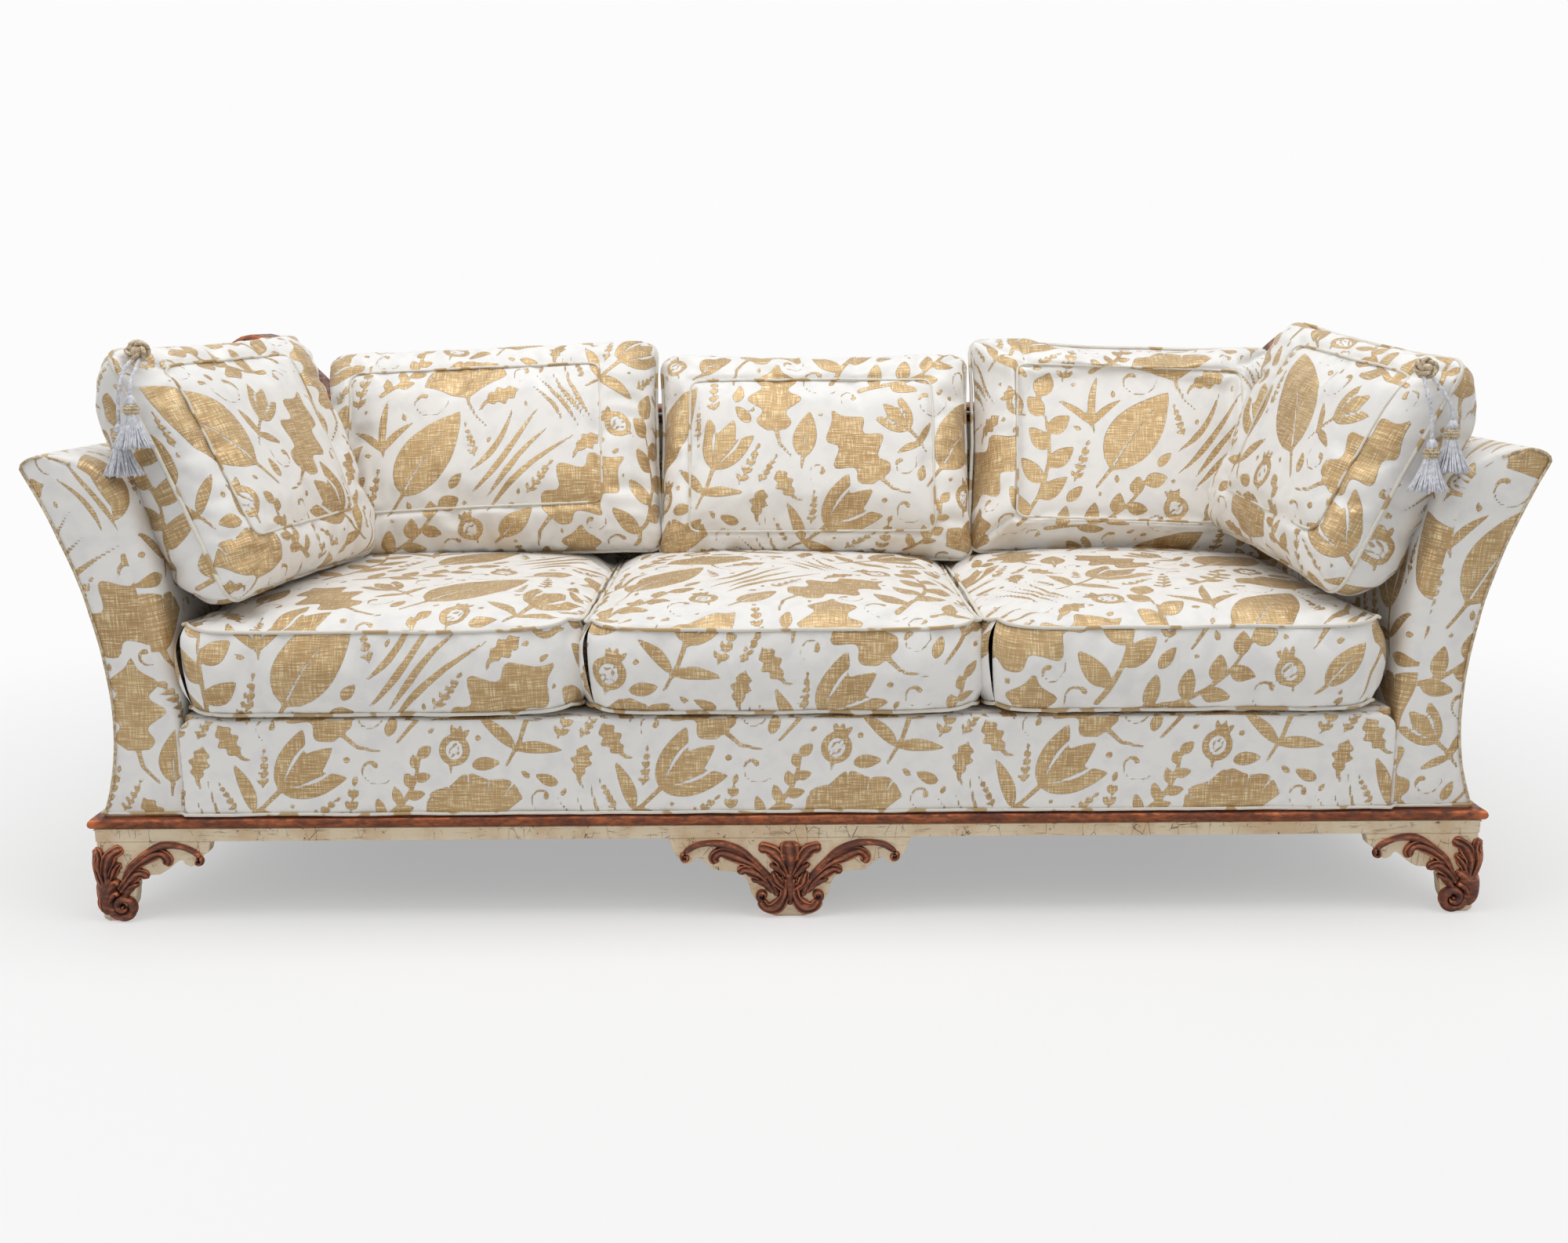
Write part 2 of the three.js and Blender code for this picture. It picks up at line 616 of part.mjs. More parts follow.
// The crest line moved down and inwards, square to itself.
function insetLine(line, distance) {
  return line.map(([x, z], i) => {
    const [ax, az] = line[Math.max(i - 1, 0)];
    const [bx, bz] = line[Math.min(i + 1, line.length - 1)];
    const length = Math.hypot(bx - ax, bz - az);
    return [x + ((bz - az) / length) * distance, z - ((bx - ax) / length) * distance];
  });
}

function backOutline(sideInset) {
  const top = insetLine(crestLine(), BACK.crestHeight + CLEARANCE);
  const sideTop = ARM.panelTop;
  const edge = (z) => armOuter(z) - sideInset;
  const side = upCurve(edge, BODY_BOTTOM, sideTop);
  const shoulder = [TIP_X - BACK.earSetIn, ARM.topHeight];
  const right = [...side, shoulder];
  return [...mirrored(right), ...top, ...right.reverse()];
}

// The inside pad fills the space between the arms, and above them it reaches out to the ears.
function backPadOutline() {
  const top = insetLine(crestLine(), BACK.crestHeight + CLEARANCE);
  const edge = (z) => armInner(z) - CLEARANCE;
  const side = upCurve(edge, DECK_BOTTOM, ARM.rollHeight);
  const overArm = ARM.topHeight + CLEARANCE;
  const right = [...side, [edge(ARM.rollHeight), overArm]];
  return [...mirrored(right), ...top, ...right.reverse()];
}

function clipped(outline, startY, endY, low, high) {
  return toGeometry(toSolid(prism(outline, startY, endY)).intersect(toSolid(box(low, high))));
}

function addBack() {
  const layer = backOutline(ARM.panel + CLEARANCE);
  const frontOf = (gap, edge) => (_, z) => edge(z) + gap;
  addMesh("back_outside_panel", prism(backOutline(0), frontOf(-BACK.panel, rearFace), frontOf(0, rearFace)), BROCADE);
  const padRear = frontOf(-CLEARANCE, frameFront);
  addMesh("back_inside_pad", prism(backPadOutline(), frontOf(0, backFront), padRear), BROCADE);
  const crest = crestLine();
  const band = [...crest, ...insetLine(crest, BACK.crestHeight).reverse()];
  const crestFront = frontOf(-BACK.crestProud, backFront);
  addMesh("back_crest", prism(band, crestFront, frontOf(BACK.crestProud, rearFace)), COPPER_LEAF);
  addBackFrame(layer);
  addCrestCord(crest);
}

function addBackFrame(layer) {
  const front = (_, z) => frameFront(z);
  const rear = (_, z) => frameRear(z);
  const far = HALF_DEPTH + OVERRUN;
  const wide = 2 * TIP_X;
  const railLow = BACK.lowHeight - BACK.crestHeight - BACK.railHeight;
  const postInner = armInner(ARM.waistHeight) + ARM.pad - BACK.postWidth;
  const bounds = (x0, x1, z0, z1) => [[x0, -far, z0], [x1, far, z1]];
  const cut = (name, x0, x1, z0, z1) =>
    addMesh(name, clipped(layer, front, rear, ...bounds(x0, x1, z0, z1)), BEECH);
  const low = railLow - CLEARANCE;
  cut("back_top_rail", -wide, wide, railLow, BACK.earHeight);
  cut("back_post_left", -wide, -postInner, BODY_BOTTOM, low);
  cut("back_post_right", postInner, wide, BODY_BOTTOM, low);
  const bottom = SEAT_FRAME.railTop;
  const between = postInner - CLEARANCE;
  cut("seat_rail_rear", -between, between, BODY_BOTTOM, bottom);
}

// A twisted cord sewn along the front edge of the crest, from ear to ear.
function addCrestCord(crest) {
  const radius = BACK.cordDiameter / 2;
  const route = insetLine(crest, BACK.crestHeight / 2).slice(1, -1);
  const front = (z) => backFront(z) - BACK.crestProud - radius - CLEARANCE;
  const curve = new THREE.CatmullRomCurve3(route.map(([x, z]) => new THREE.Vector3(x, front(z), z)));
  addMesh("crest_cord", tube(curve, radius, 5 * CREST_STEPS), SILVER_CORD);
}

function tube(curve, radius, count) {
  const section = new THREE.Shape(
    steps(TUBE_SIDES, 0, 2 * Math.PI).slice(0, -1).map((a) => new THREE.Vector2(radius * Math.cos(a), radius * Math.sin(a))),
  );
  return new THREE.ExtrudeGeometry(section, { extrudePath: curve, steps: count });
}

// Seat: rails, stretchers, webbing, deck and the upholstered border below the cushions

function addSeatFrame() {
  const railInner = armInner(SEAT_FRAME.railTop) + ARM.pad;
  const railBack = FRAME_FRONT + SEAT_FRAME.railThickness;
  const frontHalf = railInner - CLEARANCE;
  const top = SEAT_FRAME.railTop;
  addMesh("seat_rail_front", box([-frontHalf, FRAME_FRONT, BODY_BOTTOM], [frontHalf, railBack, top]), BEECH);
  const half = SEAT_FRAME.stretcherThickness / 2;
  const low = top - SEAT_FRAME.stretcherHeight;
  const rear = (_, z) => frameFront(z) - CLEARANCE;
  const outline = [[-half, low], [half, low], [half, top], [-half, top]];
  addMesh("seat_stretcher", prism(outline, railBack + CLEARANCE, rear), BEECH);
}

// Strips that cross at right angles, between the strip edges given along X and along Y.
function lattice(xEdges, yEdges, low, high) {
  const points = [low, high].flatMap((z) => yEdges.flatMap((y) => xEdges.map((x) => new THREE.Vector3(x, y, z))));
  const layer = xEdges.length * yEdges.length;
  const at = (i, j, k) => k * layer + j * xEdges.length + i;
  const inside = (i, j) => i >= 0 && j >= 0 && i < xEdges.length - 1 && j < yEdges.length - 1;
  const filled = (i, j) => inside(i, j) && (i % 2 === 0 || j % 2 === 0);
  const index = [];
  const quad = (a, b, c, d) => index.push(a, b, c, a, c, d);
  const wall = ([i, j], [k, l]) => quad(at(i, j, 0), at(k, l, 0), at(k, l, 1), at(i, j, 1));
  for (let i = 0; i < xEdges.length - 1; i++) {
    for (let j = 0; j < yEdges.length - 1; j++) {
      if (!filled(i, j)) continue;
      quad(at(i, j, 1), at(i + 1, j, 1), at(i + 1, j + 1, 1), at(i, j + 1, 1));
      quad(at(i, j, 0), at(i, j + 1, 0), at(i + 1, j + 1, 0), at(i + 1, j, 0));
      if (!filled(i, j - 1)) wall([i, j], [i + 1, j]);
      if (!filled(i + 1, j)) wall([i + 1, j], [i + 1, j + 1]);
      if (!filled(i, j + 1)) wall([i + 1, j + 1], [i, j + 1]);
      if (!filled(i - 1, j)) wall([i, j + 1], [i, j]);
    }
  }
  const geometry = new THREE.BufferGeometry().setFromPoints(points);
  geometry.setIndex(index);
  return geometry;
}

// Jute strips tacked on top of the rails, crosswise and lengthwise, as one flat lattice.
function addWebbing() {
  const { width, lengthwise, crosswise } = WEBBING;
  const reach = armInner(SEAT_FRAME.railTop) + ARM.pad - CLEARANCE;
  const rear = frameFront(WEBBING_TOP) - CLEARANCE;
  const edges = (count, from, to) => steps(count - 1, from, to - width).flatMap((start) => [start, start + width]);
  const xEdges = edges(crosswise, -reach, reach);
  const yEdges = edges(lengthwise, FRAME_FRONT, rear);
  addMesh("seat_webbing", lattice(xEdges, yEdges, SEAT_FRAME.railTop + CLEARANCE, WEBBING_TOP), JUTE);
}

// The seat fits between the arms where they are narrowest.
const DECK_HALF = armInner(ARM.waistHeight) - CLEARANCE;

function addSeatDeck() {
  const half = DECK_HALF;
  const outline = [[-half, DECK_BOTTOM], [half, DECK_BOTTOM], [half, DECK.top], [-half, DECK.top]];
  addMesh("seat_deck", prism(outline, FRAME_FRONT, (_, z) => backFront(z) - CLEARANCE), BROCADE);
}

function addFrontBorder() {
  const { top, cornerRadius: radius } = BORDER;
  const halfWidth = DECK_HALF - CLEARANCE;
  const corner = steps(ARC_STEPS, 0, Math.PI / 2).map((a) => [
    halfWidth - radius + radius * Math.cos(a),
    top - radius + radius * Math.sin(a),
  ]);
  const right = [[halfWidth, BODY_BOTTOM], ...corner];
  const outline = [...right, ...mirrored(right).reverse()];
  addMesh("seat_front_border", prism(outline, FACING_BACK - BORDER.thickness, FACING_BACK), BROCADE);
}

function addDustCover() {
  const inset = PLINTH.railThickness + CLEARANCE;
  const x = HALF_LENGTH - inset;
  const top = RAIL_BOTTOM + PLINTH.railHeight;
  const low = [-x, FACE_Y + inset, top - DUST_COVER.thickness];
  addMesh("dust_cover", box(low, [x, PLINTH_REAR - inset, top]), CAMBRIC);
}

// Cushions: a rounded plan whose sides draw in, ballooned above and below its seam

// Points of the plan's edge, counter-clockwise, with a share of how near each is to a corner.
function cushionPlan(width, depth, radius, drawIn) {
  const x = width / 2;
  const y = depth / 2;
  const sideShares = [0.25, 0.5, 0.75];
  const cornerAngles = steps(3, 0, Math.PI / 2);
  const corner = (cx, cy, turn) =>
    cornerAngles.map((a) => ({ x: cx + radius * Math.cos(a + turn), y: cy + radius * Math.sin(a + turn), corner: 1 }));
  const corners = [
    corner(x - radius, y - radius, 0),
    corner(radius - x, y - radius, Math.PI / 2),
    corner(radius - x, radius - y, Math.PI),
    corner(x - radius, radius - y, -Math.PI / 2),
  ];
  return corners.flatMap((arc, i) => {
    const from = arc.at(-1);
    const to = corners[(i + 1) % corners.length][0];
    const side = sideShares.map((t) => {
      const pull = 1 - (drawIn * Math.sin(Math.PI * t)) / (i % 2 ? x : y);
      const px = THREE.MathUtils.lerp(from.x, to.x, t);
      const py = THREE.MathUtils.lerp(from.y, to.y, t);
      return i % 2 ? { x: px * pull, y: py, corner: 0 } : { x: px, y: py * pull, corner: 0 };
    });
    return [...arc, ...side];
  });
}

const CUSHION_RINGS = 7;

// squareness bends the side from a knife edge (2) towards a box (4 and more).
// A lobe swells one face towards the far end of the depth, where nothing holds the cushion in.
function cushion(form) {
  const { width, depth, thickness, cornerRadius, drawIn, squareness } = form;
  const { crown = 0, flatBase = false, pinch = 0, lobe = 0, lobeOnTop = true } = form;
  const plan = cushionPlan(width, depth, cornerRadius, drawIn);
  const half = thickness / 2;
  const highestCosine = Math.cos(Math.PI / 2 / CUSHION_RINGS);
  const rings = [];
  for (const upper of [true, false]) {
    const angles = steps(CUSHION_RINGS, upper ? 0 : Math.PI / 2, upper ? Math.PI / 2 : Math.PI);
    for (const angle of upper ? angles.slice(1) : angles.slice(1, -1)) {
      const out = Math.sin(angle) ** (2 / squareness);
      const up = Math.sign(Math.cos(angle)) * (Math.abs(Math.cos(angle)) / highestCosine) ** (2 / squareness);
      rings.push(
        plan.map((p) => {
          const thin = 1 - pinch * p.corner * out ** 4;
          const dome = upper ? crown * (1 - out ** 2) : 0;
          const high = THREE.MathUtils.smoothstep(p.y * out, 0, depth / 2);
          const swell = upper === lobeOnTop ? 1 + lobe * high : 1;
          const z = upper || !flatBase ? half * up * thin * swell + dome : half * up;
          return new THREE.Vector3(p.x * out, p.y * out, z);
        }),
      );
    }
  }
  return flipped(skinned(rings));
}

const SEAT_NAMES = ["seat_cushion_left", "seat_cushion_middle", "seat_cushion_right"];
const SEAT_HEIGHT = DECK.top + SEAT_CUSHION.thickness + SEAT_CUSHION.crown;
const SEAT_WIDTH = (2 * DECK_HALF - SEAT_CUSHION.slack - 2 * SEAT_CUSHION.gap) / SEAT_NAMES.length;

function addSeatCushions() {
  const { gap, shift, thickness, crown, drawIn, cornerRadius, frontOverhang } = SEAT_CUSHION;
  const width = SEAT_WIDTH;
  const bottom = DECK.top + CLEARANCE;
  const front = FACE_Y - frontOverhang;
  const rear = backFront(bottom) - CLEARANCE;
  const geometry = () =>
    cushion({ width, depth: rear - front, thickness, cornerRadius, drawIn, crown, squareness: 4.5, flatBase: true });
  SEAT_NAMES.forEach((name, i) => {
    const mesh = addMesh(name, geometry(), BROCADE);
    mesh.position.set(shift + (i - 1) * (width + gap), (front + rear) / 2, bottom + thickness / 2);
  });
}

function pillow({ height, ...form }) {
  return cushion({ ...form, depth: height, squareness: 2.9, pinch: 0.25 });
}

// Seating: loose pieces slide until they lie against what carries them

function worldSolid(mesh) {
  mesh.updateMatrixWorld(true);
  return toSolid(mesh.geometry).transform(mesh.matrixWorld.toArray());
}

// Slides a piece until it all but meets a support; the stride halves each time it would.
function slide(mesh, supports, direction) {
  const solid = worldSolid(mesh);
  const along = direction.clone().normalize();
  const meets = (distance) => {
    const moved = solid.translate(along.clone().multiplyScalar(distance).toArray());
    return supports.some((support) => !moved.intersect(support).isEmpty());
  };
  let distance = 0;
  let stride = SEATING_STRIDE;
  while (stride > CLEARANCE / 4 && distance < OVERALL_DEPTH) {
    if (meets(distance + stride)) stride /= 2;
    else distance += stride;
  }
  mesh.position.addScaledVector(along, distance - CLEARANCE);
}

// Pushes a cushion against what it leans on and down along its own slope, twice over.
function seat(mesh, supportNames, against) {
  const supports = supportNames.map((name) => worldSolid(sofa.getObjectByName(name)));
  const down = new THREE.Vector3(0, 0, -1).applyEuler(mesh.rotation);
  for (const direction of [against, down, against, down]) slide(mesh, supports, direction);
}

function addBackCushions() {
  const { narrower, gap, shift, ...form } = BACK_CUSHION;
  const width = SEAT_WIDTH - narrower;
  const lean = THREE.MathUtils.degToRad(-BACK_LEAN_DEGREES);
  const carriers = ["back_inside_pad", "back_crest", "crest_cord", ...SEAT_NAMES];
  Object.entries(BACK_HEIGHTS).forEach(([side, height], i) => {
    const geometry = pillow({ ...form, width, height }).rotateX(Math.PI / 2);
    const mesh = addMesh(`back_cushion_${side}`, geometry, BROCADE);
    mesh.position.set(shift + (i - 1) * (width + gap), 0, SEAT_HEIGHT + height / 2 + SEATING_STRIDE);
    mesh.rotation.set(lean, THREE.MathUtils.degToRad(-BACK_TILT_DEGREES[side]), 0);
    seat(mesh, carriers, new THREE.Vector3(0, 1, 0));
  });
}

function addSideCushions() {
  const { length } = SIDE_CUSHION;
  for (const [side, hand] of [["left", -1], ["right", 1]]) {
    const { setBack, height } = SIDE_SET[side];
    const form = { ...SIDE_CUSHION, width: length, height, lobe: SIDE_LOBE_SHARE, lobeOnTop: hand > 0 };
    const geometry = pillow(form).rotateX(Math.PI / 2).rotateZ(Math.PI / 2);
    const mesh = addMesh(`side_cushion_${side}`, geometry, BROCADE);
    const startX = hand * (armInner(SEAT_HEIGHT) - height / 2);
    mesh.position.set(startX, FACE_Y + setBack + length / 2, SEAT_HEIGHT + height / 2 + SEATING_STRIDE);
    const degrees = [SIDE_PITCH_DEGREES[side], hand * SIDE_LEAN_DEGREES, SIDE_YAW_DEGREES[side]];
    const angles = degrees.map(THREE.MathUtils.degToRad);
    mesh.rotation.set(...angles, "ZYX");
    const carriers = [`arm_inside_pad_${side}`, `arm_facing_${side}`, `seat_cushion_${side}`, `back_cushion_${side}`];
    seat(mesh, carriers, new THREE.Vector3(hand, 0, 0));
    addTassels(side, mesh);
  }
}

// Tassels: a knot at the top front corner, and two cords that each end in a tassel

function tasselProfile() {
  const { headRadius, headHeight, bandHeight, skirtRadius, skirtHeight } = TASSEL;
  const neck = headRadius * 0.7;
  const bandLow = -headHeight - bandHeight;
  const hem = bandLow - skirtHeight;
  return [
    [0, hem],
    [skirtRadius * 0.8, hem],
    [skirtRadius, hem + skirtHeight * 0.06],
    [skirtRadius * 0.82, hem + skirtHeight * 0.5],
    [headRadius * 1.05, bandLow],
    [headRadius * 1.15, bandLow + bandHeight / 2],
    [neck, -headHeight],
    [headRadius, -headHeight * 0.55],
    [headRadius * 0.72, -headHeight * 0.15],
    [0, 0],
  ].map(toVector2);
}

// The knot is brought in from the front until it meets the cushion's front end.
function addKnot(side, cushionMesh) {
  const knot = new THREE.SphereGeometry(KNOT.radius, LATHE_SIDES, ARC_STEPS).rotateX(Math.PI / 2);
  knot.scale(1, 1, KNOT.height / KNOT.radius / 2);
  const mesh = addMesh(`knot_${side}`, knot, GOLD_BRAID);
  const { knotAcross, knotDrop, height } = SIDE_SET[side];
  const start = new THREE.Vector3(knotAcross, -SIDE_CUSHION.length / 2 - KNOT.radius, height / 2 - knotDrop);
  mesh.position.copy(cushionMesh.localToWorld(start));
  slide(mesh, [worldSolid(cushionMesh)], new THREE.Vector3(0, 1, 0));
  return mesh.position;
}

function addTassels(side, cushionMesh) {
  const knot = addKnot(side, cushionMesh);
  for (const [row, route] of Object.entries(TASSEL_CORDS[side])) {
    const points = route.map((p) => new THREE.Vector3(...p).add(knot));
    const curve = new THREE.CatmullRomCurve3(points);
    addMesh(`tassel_cord_${side}_${row}`, tube(curve, TASSEL.cordDiameter / 2, 2 * points.length), SILVER_CORD);
    const end = points.at(-1);
    const tassel = new THREE.LatheGeometry(tasselProfile(), LATHE_SIDES).rotateX(Math.PI / 2);
    addMesh(`tassel_${side}_${row}`, tassel, SILVER_CORD).position.set(end.x, end.y, end.z - CLEARANCE);
  }
}

addPlinth();
addFeet();
addSeatFrame();
addWebbing();
addSeatDeck();
addFrontBorder();
addDustCover();
addArm("left", -1);
addArm("right", 1);
addBack();
addSeatCushions();
addBackCushions();
addSideCushions();

export default sofa;
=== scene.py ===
"""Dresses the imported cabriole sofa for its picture. Metres, front at -Y, up is +Z."""
import logging
import math
from collections.abc import Callable, Iterable, Sequence
from dataclasses import dataclass, field
from enum import Enum

import bmesh
import bpy
import numpy as np
from mathutils import Euler, Matrix, Vector


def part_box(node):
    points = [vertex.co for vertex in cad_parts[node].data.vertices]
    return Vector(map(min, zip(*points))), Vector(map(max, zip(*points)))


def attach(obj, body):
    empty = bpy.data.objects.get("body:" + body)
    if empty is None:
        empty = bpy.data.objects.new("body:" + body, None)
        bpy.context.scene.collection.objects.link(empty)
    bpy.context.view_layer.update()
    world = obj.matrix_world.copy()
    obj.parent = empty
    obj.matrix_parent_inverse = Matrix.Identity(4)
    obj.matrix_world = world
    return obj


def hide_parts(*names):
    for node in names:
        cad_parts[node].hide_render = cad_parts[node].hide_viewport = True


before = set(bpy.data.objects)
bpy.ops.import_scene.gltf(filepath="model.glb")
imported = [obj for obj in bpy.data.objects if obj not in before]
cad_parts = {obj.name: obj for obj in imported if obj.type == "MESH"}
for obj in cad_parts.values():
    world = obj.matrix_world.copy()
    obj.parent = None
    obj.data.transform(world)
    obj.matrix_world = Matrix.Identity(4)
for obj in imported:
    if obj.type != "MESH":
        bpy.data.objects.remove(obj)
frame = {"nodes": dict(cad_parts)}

LOG = logging.getLogger("sofa")
Colour = tuple[float, float, float]
Point = tuple[float, float, float]


class Slot(Enum):
    """The record's finishes that a piece can take."""

    BROCADE = "brocade"
    PAINT = "painted_wood"
    LEAF = "copper_leaf"
    BEECH = "beech"
    JUTE = "jute"
    CAMBRIC = "cambric"
    SILVER = "silver_cord"
    GOLD = "gold_braid"


class Hand(Enum):
    """The end of the sofa a piece belongs to, as seen from the front."""

    LEFT = -1
    RIGHT = 1


def linear(red: int, green: int, blue: int) -> Colour:
    """A screen colour of 0 to 255 as scene-linear numbers."""
    parts = [c / 255 for c in (red, green, blue)]
    return tuple(c / 12.92 if c <= 0.04045 else ((c + 0.055) / 1.055) ** 2.4 for c in parts)


# Shader maths


class Value:
    """A shader number, with arithmetic that adds Math nodes."""

    def __init__(self, surface: "Surface", socket: bpy.types.NodeSocket) -> None:
        """Wraps a socket.

        Args:
            surface: The material being built.
            socket: The output that carries the number.
        """
        self.surface = surface
        self.socket = socket

    def math(self, operation: str, *inputs: "Value | float") -> "Value":
        """One Math node.

        Args:
            operation: The node's operation.
            inputs: Its values, in order.

        Returns:
            The node's output.
        """
        made = self.surface.node("ShaderNodeMath", {"operation": operation}, dict(enumerate(inputs)))
        return Value(self.surface, made.outputs[0])

    def __add__(self, other: "Value | float") -> "Value":
        """Sum."""
        return self.math("ADD", self, other)

    __radd__ = __add__

    def __mul__(self, other: "Value | float") -> "Value":
        """Product."""
        return self.math("MULTIPLY", self, other)

    __rmul__ = __mul__

    def __sub__(self, other: "Value | float") -> "Value":
        """Difference."""
        return self.math("SUBTRACT", self, other)

    def __rsub__(self, other: float) -> "Value":
        """Reflected difference."""
        return self.math("SUBTRACT", other, self)

    def __pow__(self, power: float) -> "Value":
        """Power."""
        return self.math("POWER", self, power)

    def __abs__(self) -> "Value":
        """Absolute value."""
        return self.math("ABSOLUTE", self)

    def sine(self) -> "Value":
        """Sine of the value in radians."""
        return self.math("SINE", self)

    def between(self, low: float, high: float) -> "Value":
        """Smooth step.

        Args:
            low: Where the result is 0.
            high: Where the result is 1.

        Returns:
            A number from 0 to 1.
        """
        settings = {"interpolation_type": "SMOOTHSTEP"}
        made = self.surface.node("ShaderNodeMapRange", settings, {"Value": self, "From Min": low, "From Max": high})
        return Value(self.surface, made.outputs[0])


class Surface:
    """One material, built node by node."""

    def __init__(self, name: str) -> None:
        """Starts an empty material.

        Args:
            name: The material's name.
        """
        self.material = bpy.data.materials.new(name)
        self.material.use_nodes = True
        self.tree = self.material.node_tree
        self.tree.nodes.clear()
        self.output = self.node("ShaderNodeOutputMaterial")

    def node(self, kind: str, settings: dict | None = None, inputs: dict | None = None) -> bpy.types.Node:
        """Adds a node.

        Args:
            kind: Its type.
            settings: Properties that are set first; "stops" fills a colour ramp.
            inputs: Socket name or number to a number, colour, socket or Value.

        Returns:
            The node.
        """
        made = self.tree.nodes.new(kind)
        for name, value in (settings or {}).items():
            if name == "stops":
                self.fill_ramp(made.color_ramp, value)
            else:
                setattr(made, name, value)
        for name, value in (inputs or {}).items():
            value = value.socket if isinstance(value, Value) else value
            if isinstance(value, bpy.types.NodeSocket):
                self.tree.links.new(value, made.inputs[name])
            elif isinstance(value, tuple) and len(value) == 3 and made.inputs[name].type == "RGBA":
                made.inputs[name].default_value = (*value, 1)
            else:
                made.inputs[name].default_value = value
        return made

    @staticmethod
    def fill_ramp(ramp: bpy.types.ColorRamp, stops: Sequence[tuple[float, Colour]]) -> None:
        """Sets a ramp's stops.

        Args:
            ramp: The colour ramp.
            stops: Places and colours, from low to high.
        """
        while len(ramp.elements) < len(stops):
            ramp.elements.new(0.5)
        for element, (place, colour) in zip(ramp.elements, stops):
            element.position = place
            element.color = (*colour, 1)

    def place(self, uv: str | None = None) -> bpy.types.NodeSocket:
        """Coordinates in metres: a UV map's, or the object's own."""
        if uv:
            return self.node("ShaderNodeUVMap", {"uv_map": uv}).outputs[0]
        return self.node("ShaderNodeTexCoord").outputs["Object"]

    def stretched(self, vector: bpy.types.NodeSocket, scale: Point) -> bpy.types.NodeSocket:
        """The coordinates times a scale of their own on each axis."""
        made = self.node("ShaderNodeVectorMath", {"operation": "MULTIPLY"}, {0: vector, 1: scale})
        return made.outputs[0]

    def noise(self, vector: bpy.types.NodeSocket, scale: float, detail: float = 2, rough: float = 0.5) -> Value:
        """Noise about 0.5.

        Args:
            vector: Coordinates.
            scale: Features per metre.
            detail: Octaves.
            rough: How strong the small ones are.

        Returns:
            The noise.
        """
        inputs = {"Vector": vector, "Scale": scale, "Detail": detail, "Roughness": rough}
        return Value(self, self.node("ShaderNodeTexNoise", None, inputs).outputs[0])

    def cells(self, vector: bpy.types.NodeSocket, scale: float, feature: str = "DISTANCE_TO_EDGE") -> Value:
        """Voronoi distances, which draw cracks, flakes and grains."""
        inputs = {"Vector": vector, "Scale": scale}
        made = self.node("ShaderNodeTexVoronoi", {"feature": feature}, inputs)
        return Value(self, made.outputs["Distance"])

    def axis(self, vector: bpy.types.NodeSocket, number: int) -> Value:
        """One component of a vector."""
        return Value(self, self.node("ShaderNodeSeparateXYZ", None, {0: vector}).outputs[number])

    def blend(self, share: Value, low: Colour | bpy.types.NodeSocket, high: Colour | bpy.types.NodeSocket) -> bpy.types.NodeSocket:
        """Mixes two colours.

        Args:
            share: 0 gives low, 1 gives high.
            low: First colour.
            high: Second colour.

        Returns:
            The mixed colour.
        """
        made = self.node("ShaderNodeMix", {"data_type": "RGBA"}, {0: share, 6: low, 7: high})
        return made.outputs[2]

    def bump(self, height: Value, distance: float, strength: float = 1) -> bpy.types.NodeSocket:
        """A bumped normal.

        Args:
            height: What stands up.
            distance: Metres for a height of 1.
            strength: Share of the effect.

        Returns:
            The normal.
        """
        inputs = {"Height": height, "Distance": distance, "Strength": strength}
        return self.node("ShaderNodeBump", None, inputs).outputs[0]

    def close(self, colour: Colour | bpy.types.NodeSocket, roughness: Value | float, normal: bpy.types.NodeSocket | None = None,
              metallic: Value | float = 0, **constants: float) -> bpy.types.Material:
        """Ends the tree with a Principled shader.

        Args:
            colour: Base colour.
            roughness: Roughness.
            normal: Bumped normal.
            metallic: Metallic.
            constants: Other sockets, with _ for a space.

        Returns:
            The material.
        """
        inputs = {"Base Color": colour, "Roughness": roughness, "Metallic": metallic}
        if normal:
            inputs["Normal"] = normal
        inputs |= {name.replace("_", " "): value for name, value in constants.items()}
        shader = self.node("ShaderNodeBsdfPrincipled", None, inputs)
        self.tree.links.new(shader.outputs[0], self.output.inputs[0])
        return self.material


# Finishes

CLOTH_UV = "Cloth"
FIGURE = "figure"


